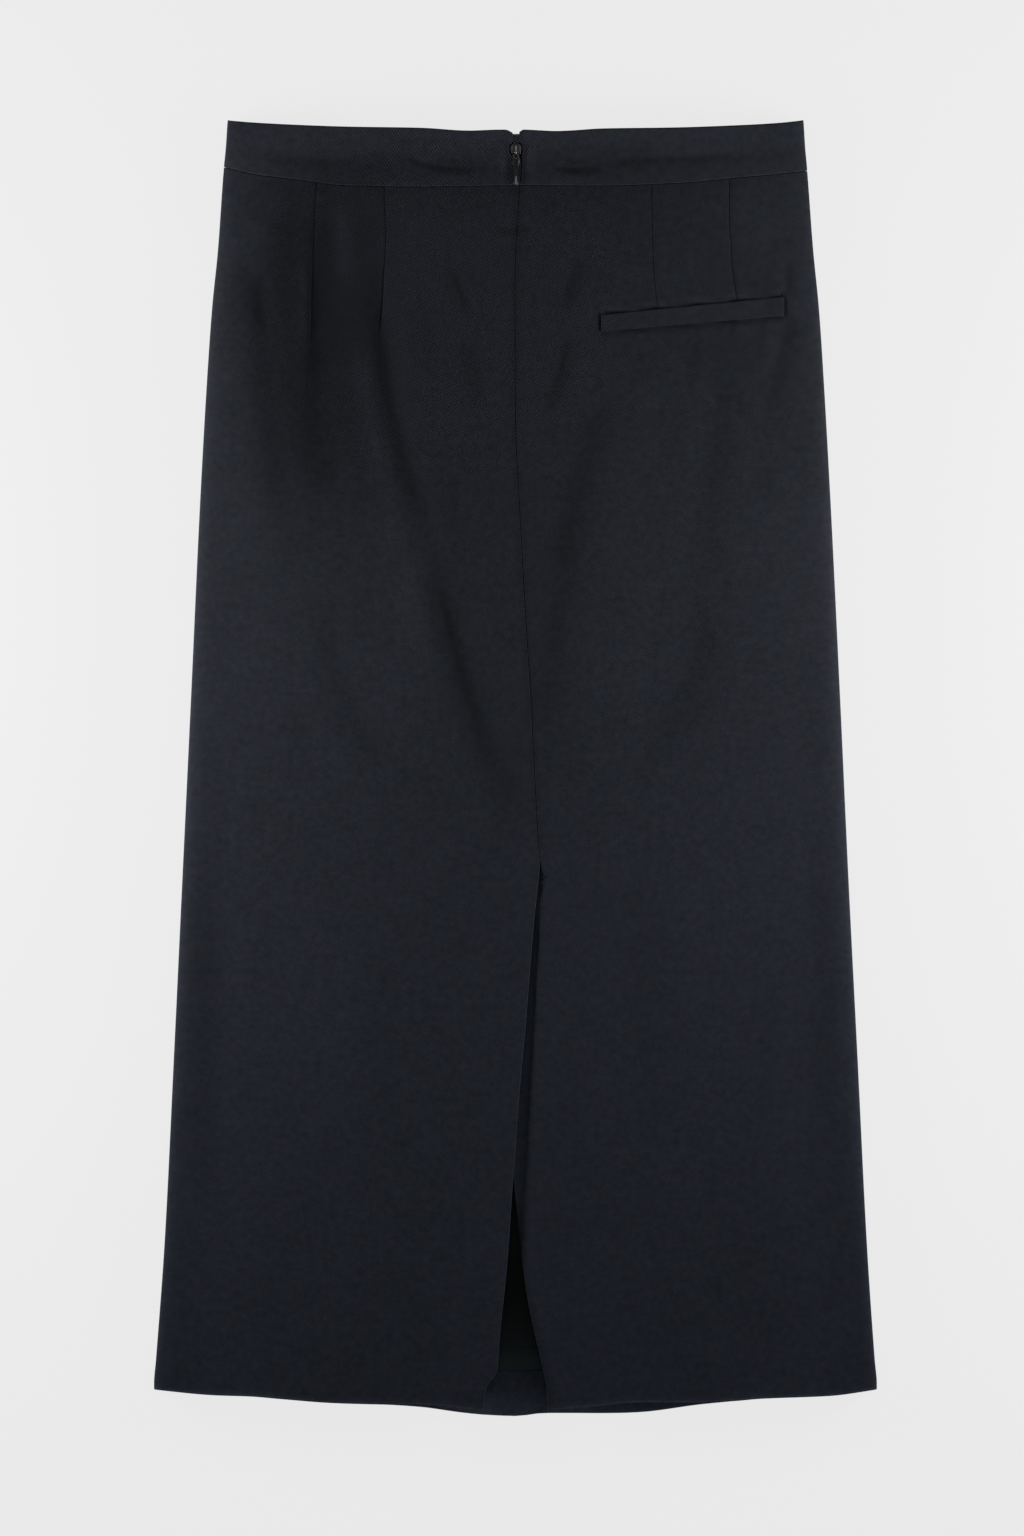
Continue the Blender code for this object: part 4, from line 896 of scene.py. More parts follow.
# -------------------------------------------------------------------- pocket welt
def pocket_welt():
    part = np.concatenate([np.array(EDGE_STEPS) / 128.5, np.linspace(0.025, 0.975, 60),
                           1.0 - np.array(EDGE_STEPS[::-1]) / 128.5])[None, :]
    down = np.concatenate([np.array(EDGE_STEPS) / 14.2, np.linspace(0.2, 0.8, 10),
                           1.0 - np.array(EDGE_STEPS[::-1]) / 14.2])[:, None]
    x = WELT["x0"] + 0.35 + (WELT["x1"] - WELT["x0"] - 0.7) * part
    x = np.broadcast_to(x, (down.shape[0], part.shape[1])).copy()
    high, low = welt_rows(x)
    y = (high - 0.25) + (low + 0.3 - (high - 0.25)) * down
    ground = crown_z(x, y) + dart_relief(DARTS_RIGHT, x, y)
    z = ground + 0.30 + 0.16 * np.sin(np.pi * np.clip(down, 0, 1)) + 0.12 * bell((y - high) + 1.6, 1.0)
    z = z + 0.07 * np.sin(2 * np.pi * x / 31.0)
    P = np.stack([x, y, z], axis=-1)
    # painted shade along the welt's lower edge, and the welt a touch lighter overall
    tone = 1.06 * (1.0 - 0.20 * bell(y - low, 0.8)) * painted_shading_at(P[..., 0], P[..., 1])
    return shell("welt_cloth", P, 0.95, P[..., 0], P[..., 1], radius=0.3, painted_shading=tone)


# ----------------------------------------------------------------------- the zip
def zip_tape():
    rows = np.concatenate([[442.6, 442.4, 442.0], np.arange(440.0, 243.0, -2.5), [241.9, 241.6, 241.4]])
    cols = np.concatenate([[-13.0, -12.8, -12.3], np.arange(-11.5, 12.0, 1.2), [12.3, 12.8, 13.0]]) + ZIP_X
    x, y = np.meshgrid(cols, rows)
    z = crown_z(x, y, detail=False) - 2.4 + 0.04 * np.sin(2 * np.pi * y / 3.0)
    z = z + np.minimum(fold_relief(x, y) * (1.0 - smooth(378.0, 408.0, y)), 0.6)
    P = np.stack([x, y, z], axis=-1)
    return shell("tape_cloth", P, 0.8, P[..., 0], P[..., 1])


def capsule_path(points, radius, sides=8, closed=False):
    """Frames along a path through points: each point with its tangent and two axes across it."""
    pts = [Vector(p) for p in points]
    n = len(pts)
    frames = []
    up = Vector((0.0, 0.0, 1.0))
    for i in range(n):
        a = pts[(i - 1) % n] if (closed or i > 0) else pts[i]
        b = pts[(i + 1) % n] if (closed or i < n - 1) else pts[i]
        t = (b - a).normalized()
        ref = up if abs(t.dot(up)) < 0.95 else Vector((1.0, 0.0, 0.0))
        s = t.cross(ref).normalized()
        frames.append((pts[i], t, s, s.cross(t).normalized()))
    return frames


def add_tube(bm, points, radius, sides=8, closed=False, flat=1.0):
    """Adds a closed round tube to a bmesh: capped by small domes if open."""
    frames = capsule_path(points, radius, sides, closed)
    rings = []

    def ring(centre, s, w, r):
        out = []
        for k in range(sides):
            a = 2 * math.pi * k / sides
            out.append(bm.verts.new(centre + s * (r * math.cos(a)) + w * (r * flat * math.sin(a))))
        return out
    if not closed:
        p, t, s, w = frames[0]
        for q in (0.98, 0.7, 0.35):
            rings.append(ring(p - t * (radius * q), s, w, radius * math.sqrt(max(0.0, 1 - q * q))))
    for p, t, s, w in frames:
        rings.append(ring(p, s, w, radius))
    if not closed:
        p, t, s, w = frames[-1]
        for q in (0.35, 0.7, 0.98):
            rings.append(ring(p + t * (radius * q), s, w, radius * math.sqrt(max(0.0, 1 - q * q))))
    m = len(rings)
    for i in range(m if closed else m - 1):
        a, b = rings[i], rings[(i + 1) % m]
        for k in range(sides):
            bm.faces.new((a[k], a[(k + 1) % sides], b[(k + 1) % sides], b[k]))
    if not closed:
        bm.faces.new(rings[0][::-1])
        bm.faces.new(rings[-1])


def add_strap(bm, path, half, thick):
    """Adds a rounded flat strap along a path of (y, z) points, x across it."""
    section = []
    for k in range(16):
        a = 2 * math.pi * (k + 0.5) / 16
        c, s = math.cos(a), math.sin(a)
        section.append((half * math.copysign(abs(c) ** 0.55, c), thick * math.copysign(abs(s) ** 0.8, s)))
    rings = []
    for i, (y, z) in enumerate(path):
        ya, za = path[max(i - 1, 0)]
        yb, zb = path[min(i + 1, len(path) - 1)]
        n = math.hypot(yb - ya, zb - za)
        ny, nz = -(zb - za) / n, (yb - ya) / n
        rings.append([bm.verts.new((x, y + w * ny, z + w * nz)) for x, w in section])
    for a, b in zip(rings[:-1], rings[1:]):
        for k in range(16):
            bm.faces.new((a[k], a[(k + 1) % 16], b[(k + 1) % 16], b[k]))
    bm.faces.new(rings[0][::-1])
    bm.faces.new(rings[-1])


def painted_highlight(bm, start, value):
    """Marks the points added since start with this much painted highlight: a brighter metal colour where glints should
    show.
    """
    layer = bm.verts.layers.float["painted_highlight"]
    for k, v in enumerate(bm.verts):
        if k >= start:
            v[layer] = value(v.co) if callable(value) else value


def mesh_from_bmesh(name, bm, scale=MM, angle=35.0):
    bmesh.ops.recalc_face_normals(bm, faces=bm.faces)
    for v in bm.verts:
        v.co *= scale
    mesh = bpy.data.meshes.new(name)
    bm.to_mesh(mesh)
    bm.free()
    mesh.shade_smooth()
    mesh.set_sharp_from_angle(angle=math.radians(angle))
    obj = bpy.data.objects.new(name, mesh)
    bpy.context.scene.collection.objects.link(obj)
    return obj


def one(value):
    return float(np.asarray(value).reshape(-1)[0])


def zip_coil():
    """Two rows of nylon loops meeting on the zip's line."""
    bm = bmesh.new()
    pitch = 1.75
    count = int((441.9 - 424.6) / pitch)
    for k in range(count):
        for side in (-1, 1):
            y = 441.7 - pitch * (k + (0.5 if side > 0 else 0.0))
            z = one(crown_z(np.array([ZIP_X]), np.array([y]), detail=False)) - 1.25
            pts = []
            for t in np.linspace(0.0, 1.0, 7):
                pts.append((ZIP_X + side * (0.12 + 1.38 * t), y + 0.12 * side * math.sin(math.pi * t),
                            z + 0.34 * math.sin(math.pi * min(1.0, t * 1.15))))
            add_tube(bm, pts, 0.46, sides=8, flat=0.85)
    # the cord that the loops are woven on
    for side in (-1, 1):
        pts = [(ZIP_X + side * 1.62, y, one(crown_z(np.array([ZIP_X]), np.array([y]), detail=False)) - 1.35)
               for y in np.linspace(441.8, 424.6, 12)]
        add_tube(bm, pts, 0.32, sides=7)
    return mesh_from_bmesh("coil_teeth", bm)


PIVOT = Vector(PULL_JOINT["pos_m"]) / MM
SLIDER_Y = 431.0


def slider_frame():
    a = one(crown_z(np.array([ZIP_X]), np.array([408.0]), detail=False))
    b = one(crown_z(np.array([ZIP_X]), np.array([436.0]), detail=False))
    slope = math.atan2(a - b, 28.0)
    z0 = one(crown_z(np.array([ZIP_X]), np.array([SLIDER_Y]), detail=False)) - 0.45
    return Vector((ZIP_X, SLIDER_Y, z0)), -slope


def zip_slider():
    """Cast slider: dished shield with two shoulders, a stem and a bridge."""
    seat, tilt = slider_frame()
    bm = bmesh.new()
    bm.verts.layers.float.new("painted_highlight")
    # outline half widths of the plate from its top to its mouth
    outline = ((4.5, 1.5), (4.35, 2.3), (4.0, 3.0), (3.3, 3.75), (2.4, 4.0), (1.0, 4.0),
               (-0.4, 3.95), (-1.6, 3.55), (-2.8, 2.95), (-3.8, 2.6), (-4.3, 2.35), (-4.5, 1.8))
    levels = ((0.32, 0.90), (0.36, 0.97), (0.5, 1.0), (0.76, 1.0), (0.98, 0.96), (1.08, 0.86),
              (1.12, 0.62), (1.04, 0.36))
    rings = []
    for z, shrink in levels:
        ring = []
        for y, h in outline:
            ring.append(bm.verts.new((h * shrink, y * (0.5 + 0.5 * shrink), z)))
        for y, h in reversed(outline):
            ring.append(bm.verts.new((-h * shrink, y * (0.5 + 0.5 * shrink), z)))
        rings.append(ring)
    n = len(rings[0])
    for i in range(len(rings) - 1):
        for k in range(n):
            bm.faces.new((rings[i][k], rings[i][(k + 1) % n], rings[i + 1][(k + 1) % n], rings[i + 1][k]))
    bm.faces.new(rings[0][::-1])
    bm.faces.new(rings[-1])
    # painted highlights: faint on the plate, stronger on the bridge and the cheeks
    painted_highlight(bm, 0, 0.02)
    # the bridge: a strap bent over the plate, rising a little to its back
    done = len(bm.verts)
    reach, high = 3.2 - 0.4, 1.68
    path = []
    for t in np.linspace(0.0, 1.0, 31):
        a = math.pi * t
        c, s = math.cos(a), math.sin(a)
        y = reach * np.sign(c) * abs(c) ** 0.55
        path.append((float(y), float(1.0 + high * abs(s) ** 0.62 - 0.06 * y * abs(s))))
    add_strap(bm, path, 0.72, 0.42)
    painted_highlight(bm, done, lambda co: 0.24 + 0.22 * float(smooth(-0.5, 2.4, co.y)))
    # two cheeks that stand up beside the bridge's foot, as on a locking slider
    for side in (-1, 1):
        done = len(bm.verts)
        pts = [(side * 2.30, 3.5, 0.98), (side * 2.75, 2.4, 1.26), (side * 2.92, 1.0, 1.30),
               (side * 2.78, -0.6, 1.10), (side * 2.40, -2.2, 0.84)]
        add_tube(bm, pts, 0.50, sides=10, flat=0.8)
        painted_highlight(bm, done, 0.21)
    done = len(bm.verts)
    # the stem between the tapes
    for z0, z1, w, l in ((-0.15, 0.5, 1.5, 2.5),):
        ring_a, ring_b = [], []
        for k in range(16):
            a = 2 * math.pi * k / 16
            cx, cy = w * math.cos(a), l * math.sin(a)
            ring_a.append(bm.verts.new((cx, cy, z0)))
            ring_b.append(bm.verts.new((cx, cy, z1)))
        for k in range(16):
            bm.faces.new((ring_a[k], ring_a[(k + 1) % 16], ring_b[(k + 1) % 16], ring_b[k]))
        bm.faces.new(ring_a[::-1])
        bm.faces.new(ring_b)
    place = Matrix.Translation(seat) @ Matrix.Rotation(tilt, 4, "X")
    bmesh.ops.transform(bm, matrix=place, verts=bm.verts)
    return mesh_from_bmesh("slider_cast", bm)


def zip_pull():
    """Teardrop tab with a raised rim, an eye round the bridge and a long window."""
    _seat, tilt = slider_frame()
    droop = math.radians(1.3)

    def half_width(y):
        """Outer half width of the tab at y, measured from the bar."""
        return one(np.interp(-y, (-0.45, -0.25, 0.2, 2.0, 4.0, 6.0, 9.5, 14.5, 20.0, 21.6, 22.7, 23.35, 23.6),
                             (1.7, 2.3, 2.65, 2.7, 2.65, 2.3, 2.0, 1.82, 1.75, 1.6, 1.15, 0.6, 0.05)))

    outer = []
    ys = [0.18, 0.12, -0.04, -0.4, -1.2, -2.2, -3.2, -4.2, -5.4, -7.0, -9.5, -12.0, -14.5, -17.0, -19.6, -21.2,
          -22.0, -22.7, -23.2, -23.5]
    right = [(half_width(y), y) for y in ys]
    outer = right + [(0.0, -23.62)] + [(-w, y) for w, y in reversed(right)]
    bm = bmesh.new()
    bm.verts.layers.float.new("painted_highlight")

    def plate(outline, holes, low, high):
        """Flat plate with holes, closed, from outlines listed the same way round."""
        tmp = bmesh.new()
        edges = []
        for ring in [outline] + holes:
            vs = [tmp.verts.new((x, y, low)) for x, y in ring]
            for k in range(len(vs)):
                edges.append(tmp.edges.new((vs[k], vs[(k + 1) % len(vs)])))
        bmesh.ops.triangle_fill(tmp, use_beauty=True, use_dissolve=False, edges=edges)
        geom = bmesh.ops.extrude_face_region(tmp, geom=tmp.faces[:])
        for v in [g for g in geom["geom"] if isinstance(g, bmesh.types.BMVert)]:
            v.co.z = high
        bmesh.ops.recalc_face_normals(tmp, faces=tmp.faces)
        return tmp

    def oval(cx, y_top, y_low, w_top, w_low, n=14):
        pts = []
        for k in range(n):
            a = math.pi * k / (n - 1)
            pts.append((cx + w_top * math.cos(a), y_top + min(w_top, 0.9) * math.sin(a)))
        for k in range(n):
            a = math.pi + math.pi * k / (n - 1)
            pts.append((cx + w_low * math.cos(a), y_low + min(w_low, 0.9) * math.sin(a)))
        return pts

    eye = oval(0.0, -0.95, -3.3, 1.62, 1.45)
    window = oval(0.0, -17.2, -22.0, 0.30, 0.42)
    plate_bm = plate(outer, [eye, window], -0.27, 0.27)
    mesh = bpy.data.meshes.new("tab_plate")
    plate_bm.to_mesh(mesh)
    plate_bm.free()
    bm.from_mesh(mesh)
    bpy.data.meshes.remove(mesh)
    painted_highlight(bm, 0, 0.0)
    # rolled rims: round the outline, the eye and the window
    inset = []
    for x, y in outer:
        inset.append((x * 0.90 if abs(x) > 0.05 else 0.0, y if y > -21.0 else y + 0.22, 0.0))
    done = len(bm.verts)
    add_tube(bm, inset, 0.33, sides=10, closed=True, flat=1.1)
    # painted highlights on the rim: faint at the tip, and a glint on the right side only
    painted_highlight(bm, done, lambda co: 0.06 * float(smooth(-19.4, -22.4, co.y))
           + (0.60 if co.x > 0.0 else 0.10) * float(bell(co.y + 6.7, 1.5)))
    done = len(bm.verts)
    add_tube(bm, [(x * 1.12, y - 0.08 * (1 if y > -2 else -1), 0.0) for x, y in eye], 0.34, sides=8, closed=True)
    painted_highlight(bm, done, lambda co: 0.24 * float(smooth(-2.2, -3.4, co.y)))
    done = len(bm.verts)
    add_tube(bm, [(x * 1.35, y, 0.06) for x, y in window], 0.25, sides=10, closed=True, flat=1.0)
    # painted highlight round the window, brightest at its low end
    painted_highlight(bm, done, lambda co: 0.50 + 0.50 * float(smooth(-17.2, -20.6, co.y)))
    # the bar in the bridge, on the hinge's axis
    done = len(bm.verts)
    add_tube(bm, [(x, 0.0, 0.0) for x in np.linspace(-2.0, 2.0, 9)], 0.38, sides=12)
    painted_highlight(bm, done, 0.3)
    # the tip is bent up a little
    for v in bm.verts:
        v.co.z += 0.065 * max(0.0, -13.0 - v.co.y)
    place = (Matrix.Translation(PIVOT) @ Matrix.Rotation(tilt + droop, 4, "X"))
    bmesh.ops.transform(bm, matrix=place, verts=bm.verts)
    return mesh_from_bmesh("pull_tab", bm, angle=50.0)


# ---------------------------------------------------------------------- materials
def nodes_of(name):
    mat = bpy.data.materials.new(name)
    mat.use_nodes = True
    tree = mat.node_tree
    bsdf = tree.nodes["Principled BSDF"]
    return mat, tree, bsdf


def math_node(tree, op, a, b=None, c=None, clamp=False):
    node = tree.nodes.new("ShaderNodeMath")
    node.operation = op
    node.use_clamp = clamp
    for k, value in enumerate((a, b, c)):
        if value is None:
            continue
        if isinstance(value, (int, float)):
            node.inputs[k].default_value = value
        else:
            tree.links.new(value, node.inputs[k])
    return node.outputs[0]


def noise(tree, vector, scale, detail=2.0, rough=0.5, w=0.0):
    node = tree.nodes.new("ShaderNodeTexNoise")
    node.noise_dimensions = "3D"
    node.inputs["Scale"].default_value = scale
    node.inputs["Detail"].default_value = detail
    node.inputs["Roughness"].default_value = rough
    tree.links.new(vector, node.inputs["Vector"])
    return node.outputs["Fac"]


def mix_colour(tree, factor, a, b, blend="MIX"):
    node = tree.nodes.new("ShaderNodeMix")
    node.data_type = "RGBA"
    node.blend_type = blend
    for key, value in (("Factor", factor), ("A", a), ("B", b)):
        sock = next(s for s in node.inputs if s.name == key and
                    (s.type == "VALUE" if key == "Factor" else s.type == "RGBA"))
        if isinstance(value, (int, float)):
            sock.default_value = value
        elif isinstance(value, tuple):
            sock.default_value = (*value, 1.0)
        else:
            tree.links.new(value, sock)
    return next(s for s in node.outputs if s.type == "RGBA")


def twill(name, dark, light, angle, sheen=0.03, pitch=1.50, contrast=1.0, strength=1.0,
          tint=(0.70, 0.80, 1.0)):
    """Fine wool twill: slanted ribs of short floats, fibre fuzz and slow tone."""
    mat, tree, bsdf = nodes_of(name)
    uv = tree.nodes.new("ShaderNodeUVMap")
    uv.uv_map = "weave"
    warp = tree.nodes.new("ShaderNodeVectorMath")
    warp.operation = "SCALE"
    warp.inputs["Scale"].default_value = 1.0 / MM          # weave coordinates in mm
    tree.links.new(uv.outputs["UV"], warp.inputs[0])
    rotate = tree.nodes.new("ShaderNodeVectorRotate")
    rotate.rotation_type = "Z_AXIS"
    rotate.inputs["Angle"].default_value = math.radians(angle)
    tree.links.new(warp.outputs[0], rotate.inputs["Vector"])
    split = tree.nodes.new("ShaderNodeSeparateXYZ")
    tree.links.new(rotate.outputs[0], split.inputs[0])
    wander = noise(tree, warp.outputs[0], 0.30, 2.0)
    x = math_node(tree, "MULTIPLY_ADD", wander, 1.0, split.outputs["X"])
    rib = math_node(tree, "SINE", math_node(tree, "MULTIPLY", x, 2 * math.pi / pitch))
    rib = math_node(tree, "MULTIPLY_ADD", rib, 0.5, 0.5)
    rib = math_node(tree, "POWER", rib, 0.8)
    # floats: each rib is broken into short yarn ends, stepped from rib to rib
    which = math_node(tree, "FLOOR", math_node(tree, "DIVIDE", x, pitch))
    along = math_node(tree, "MULTIPLY_ADD", which, 0.37, math_node(tree, "DIVIDE", split.outputs["Y"], 1.3))
    float_ = math_node(tree, "PINGPONG", along, 0.5)
    float_ = math_node(tree, "POWER", math_node(tree, "MULTIPLY", float_, 2.0), 0.5)
    fibre = noise(tree, warp.outputs[0], 2.6, 3.0, 0.65)
    yarn = noise(tree, rotate.outputs[0], 0.62, 3.0, 0.62)
    geo = tree.nodes.new("ShaderNodeTexCoord")
    tone = noise(tree, geo.outputs["Object"], 5.0, 3.0, 0.55)
    tone2 = noise(tree, geo.outputs["Object"], 60.0, 3.0, 0.6)
    level = math_node(tree, "MULTIPLY", rib, math_node(tree, "MULTIPLY_ADD", float_, 0.45, 0.55))
    # the weave is plainer to see up at the hips than at the pressed hem, plainest
    # over the seat, where wear has raised it, and comes and goes in patches
    place = tree.nodes.new("ShaderNodeSeparateXYZ")
    tree.links.new(geo.outputs["Object"], place.inputs[0])
    plain = math_node(tree, "MULTIPLY_ADD", place.outputs["Y"], 0.6, 0.42)
    plain = math_node(tree, "MAXIMUM", math_node(tree, "MINIMUM", plain, 0.60), 0.28)
    out = math_node(tree, "ABSOLUTE", place.outputs["X"])
    out = math_node(tree, "MAXIMUM", math_node(tree, "MULTIPLY_ADD", out, -7.5, 1.9, clamp=True), 0.40)
    seat_x = math_node(tree, "POWER", math_node(tree, "ABSOLUTE", math_node(tree, "MULTIPLY_ADD", place.outputs["X"], 6.67, 0.40)), 2.0)
    seat_y = math_node(tree, "POWER", math_node(tree, "ABSOLUTE", math_node(tree, "MULTIPLY_ADD", place.outputs["Y"], 7.14, -2.36)), 2.0)
    seat = math_node(tree, "SUBTRACT", 1.0, math_node(tree, "ADD", seat_x, seat_y), clamp=True)
    plain = math_node(tree, "MULTIPLY", math_node(tree, "MULTIPLY", plain, out), math_node(tree, "MULTIPLY_ADD", seat, 5.4, 1.0))
    patch = math_node(tree, "MAXIMUM", math_node(tree, "MULTIPLY_ADD", noise(tree, warp.outputs[0], 0.075, 2.0), 4.4, -1.2), 0.3)
    plain = math_node(tree, "MULTIPLY", plain, math_node(tree, "MULTIPLY", patch, contrast))
    shade = math_node(tree, "MULTIPLY_ADD", level, 0.55, math_node(tree, "MULTIPLY", fibre, 0.45))
    shade = math_node(tree, "ADD", shade, math_node(tree, "MULTIPLY_ADD", yarn, 0.55, -0.25))
    shade = math_node(tree, "MULTIPLY_ADD", math_node(tree, "SUBTRACT", shade, 0.5), plain, 0.5)
    shade = math_node(tree, "ADD", shade, math_node(tree, "MULTIPLY_ADD", tone, 0.26, -0.13))
    shade = math_node(tree, "ADD", shade, math_node(tree, "MULTIPLY_ADD", tone2, 0.30, -0.15))
    mottle = noise(tree, warp.outputs[0], 0.20, 2.0, 0.6)
    shade = math_node(tree, "ADD", shade, math_node(tree, "MULTIPLY_ADD", mottle, 0.66, -0.33), clamp=True)
    colour = mix_colour(tree, shade, dark, light)
    # slow drift between a neutral and a bluer charcoal, bluer below the hips
    low = math_node(tree, "MULTIPLY_ADD", place.outputs["Y"], -2.2, 0.25, clamp=True)
    blue = math_node(tree, "MULTIPLY", low, math_node(tree, "MULTIPLY_ADD", tone, 1.2, 0.10), clamp=True)
    colour = mix_colour(tree, blue, colour, (0.86, 0.97, 1.08), "MULTIPLY")
    # single yarns dyed a touch greener or redder
    hue = noise(tree, geo.outputs["Object"], 95.0, 3.0, 0.7)
    hue = math_node(tree, "MULTIPLY_ADD", hue, 5.0, -2.0, clamp=True)
    colour = mix_colour(tree, 1.0, colour, mix_colour(tree, hue, (0.95, 1.02, 1.02), (1.05, 0.985, 1.0)), "MULTIPLY")
    # the painted light and shade stored on the mesh scale the colour
    painted_shading = tree.nodes.new("ShaderNodeAttribute")
    painted_shading.attribute_name = "painted_shading"
    keep = tree.nodes.new("ShaderNodeVectorMath")
    keep.operation = "SCALE"
    tree.links.new(colour, keep.inputs[0])
    tree.links.new(painted_shading.outputs["Fac"], keep.inputs["Scale"])
    tree.links.new(keep.outputs[0], bsdf.inputs["Base Color"])
    rough = math_node(tree, "MULTIPLY_ADD", yarn, 0.18, 0.72, clamp=True)
    tree.links.new(rough, bsdf.inputs["Roughness"])
    height = math_node(tree, "MULTIPLY", level, 0.13)
    height = math_node(tree, "ADD", height, math_node(tree, "MULTIPLY", fibre, 0.05))
    height = math_node(tree, "ADD", height, math_node(tree, "MULTIPLY", yarn, 0.04))
    height = math_node(tree, "MULTIPLY", height, math_node(tree, "MINIMUM", math_node(tree, "MULTIPLY_ADD", plain, 0.45, 0.20), 1.3))
    bump = tree.nodes.new("ShaderNodeBump")
    bump.inputs["Strength"].default_value = strength
    bump.inputs["Distance"].default_value = MM
    tree.links.new(height, bump.inputs["Height"])
    tree.links.new(bump.outputs["Normal"], bsdf.inputs["Normal"])
    bsdf.inputs["Specular IOR Level"].default_value = 0.04
    bsdf.inputs["Sheen Weight"].default_value = sheen
    bsdf.inputs["Sheen Roughness"].default_value = 0.5
    bsdf.inputs["Sheen Tint"].default_value = (*tint, 1.0)
    return mat


def satin(name, dark, light):
    """Lining: smooth close weave with fine warp lines and a dull shine."""
    mat, tree, bsdf = nodes_of(name)
    geo = tree.nodes.new("ShaderNodeTexCoord")
    mapping = tree.nodes.new("ShaderNodeMapping")
    mapping.inputs["Scale"].default_value = (2600.0, 260.0, 260.0)
    tree.links.new(geo.outputs["Object"], mapping.inputs["Vector"])
    lines = noise(tree, mapping.outputs[0], 1.0, 2.0, 0.6)
    tone = noise(tree, geo.outputs["Object"], 12.0, 3.0)
    shade = math_node(tree, "MULTIPLY_ADD", tone, 0.6, math_node(tree, "MULTIPLY", lines, 0.4), clamp=True)
    # the painted light and shade stored on the mesh scale the colour
    painted_shading = tree.nodes.new("ShaderNodeAttribute")
    painted_shading.attribute_name = "painted_shading"
    keep = tree.nodes.new("ShaderNodeVectorMath")
    keep.operation = "SCALE"
    tree.links.new(mix_colour(tree, shade, dark, light), keep.inputs[0])
    tree.links.new(painted_shading.outputs["Fac"], keep.inputs["Scale"])
    tree.links.new(keep.outputs[0], bsdf.inputs["Base Color"])
    tree.links.new(math_node(tree, "MULTIPLY_ADD", lines, 0.2, 0.38), bsdf.inputs["Roughness"])
    bump = tree.nodes.new("ShaderNodeBump")
    bump.inputs["Strength"].default_value = 0.5
    bump.inputs["Distance"].default_value = 0.00012
    tree.links.new(lines, bump.inputs["Height"])
    tree.links.new(bump.outputs["Normal"], bsdf.inputs["Normal"])
    bsdf.inputs["Specular IOR Level"].default_value = 0.06
    bsdf.inputs["Sheen Weight"].default_value = 0.0
    return mat


def tape_cloth(name, dark, light):
    """Zip tape: tight herringbone ribs along its length."""
    mat, tree, bsdf = nodes_of(name)
    uv = tree.nodes.new("ShaderNodeUVMap")
    uv.uv_map = "weave"
    split = tree.nodes.new("ShaderNodeSeparateXYZ")
    tree.links.new(uv.outputs["UV"], split.inputs[0])
    x = math_node(tree, "MULTIPLY", split.outputs["X"], 1.0 / MM)
    y = math_node(tree, "MULTIPLY", split.outputs["Y"], 1.0 / MM)
    zig = math_node(tree, "PINGPONG", x, 1.5)
    rib = math_node(tree, "SINE", math_node(tree, "MULTIPLY", math_node(tree, "ADD", y, zig), 7.0))
    rib = math_node(tree, "MULTIPLY_ADD", rib, 0.5, 0.5)
    tree.links.new(mix_colour(tree, rib, dark, light), bsdf.inputs["Base Color"])
    tree.links.new(math_node(tree, "MULTIPLY_ADD", rib, -0.1, 0.85), bsdf.inputs["Roughness"])
    bump = tree.nodes.new("ShaderNodeBump")
    bump.inputs["Strength"].default_value = 0.8
    bump.inputs["Distance"].default_value = 0.00015
    tree.links.new(rib, bump.inputs["Height"])
    tree.links.new(bump.outputs["Normal"], bsdf.inputs["Normal"])
    bsdf.inputs["Specular IOR Level"].default_value = 0.15
    bsdf.inputs["Sheen Weight"].default_value = 0.1
    return mat


def nylon(name, dark, light):
    mat, tree, bsdf = nodes_of(name)
    geo = tree.nodes.new("ShaderNodeTexCoord")
    speck = noise(tree, geo.outputs["Object"], 900.0, 2.0)
    tree.links.new(mix_colour(tree, speck, dark, light), bsdf.inputs["Base Color"])
    tree.links.new(math_node(tree, "MULTIPLY_ADD", speck, 0.2, 0.22), bsdf.inputs["Roughness"])
    bump = tree.nodes.new("ShaderNodeBump")
    bump.inputs["Strength"].default_value = 0.3
    bump.inputs["Distance"].default_value = 0.00005
    tree.links.new(speck, bump.inputs["Height"])
    tree.links.new(bump.outputs["Normal"], bsdf.inputs["Normal"])
    bsdf.inputs["Specular IOR Level"].default_value = 0.5
    return mat


def gunmetal(name):
    """Black lacquered cast metal, raised to a bright metal colour where painted highlights are marked, broken up by
    blotchy wear.
    """
    mat, tree, bsdf = nodes_of(name)
    geo = tree.nodes.new("ShaderNodeTexCoord")
    grit = noise(tree, geo.outputs["Object"], 1400.0, 3.0, 0.6)
    blot = noise(tree, geo.outputs["Object"], 420.0, 2.0)
    painted_highlight_attr = tree.nodes.new("ShaderNodeAttribute")
    painted_highlight_attr.attribute_name = "painted_highlight"
    wear_and_highlight = math_node(tree, "MULTIPLY", painted_highlight_attr.outputs["Fac"], math_node(tree, "MULTIPLY_ADD", blot, 0.9, 0.45, clamp=True), clamp=True)
    colour = mix_colour(tree, wear_and_highlight, (0.011, 0.011, 0.012), (0.62, 0.62, 0.64))
    tree.links.new(colour, bsdf.inputs["Base Color"])
    tree.links.new(math_node(tree, "MULTIPLY_ADD", grit, 0.16, 0.16), bsdf.inputs["Roughness"])
    bump = tree.nodes.new("ShaderNodeBump")
    bump.inputs["Strength"].default_value = 0.25
    bump.inputs["Distance"].default_value = 0.00004
    tree.links.new(grit, bump.inputs["Height"])
    tree.links.new(bump.outputs["Normal"], bsdf.inputs["Normal"])
    bsdf.inputs["Metallic"].default_value = 0.9
    bsdf.inputs["Specular IOR Level"].default_value = 0.4
    bsdf.inputs["Coat Weight"].default_value = 0.10
    bsdf.inputs["Coat Roughness"].default_value = 0.12
    return mat


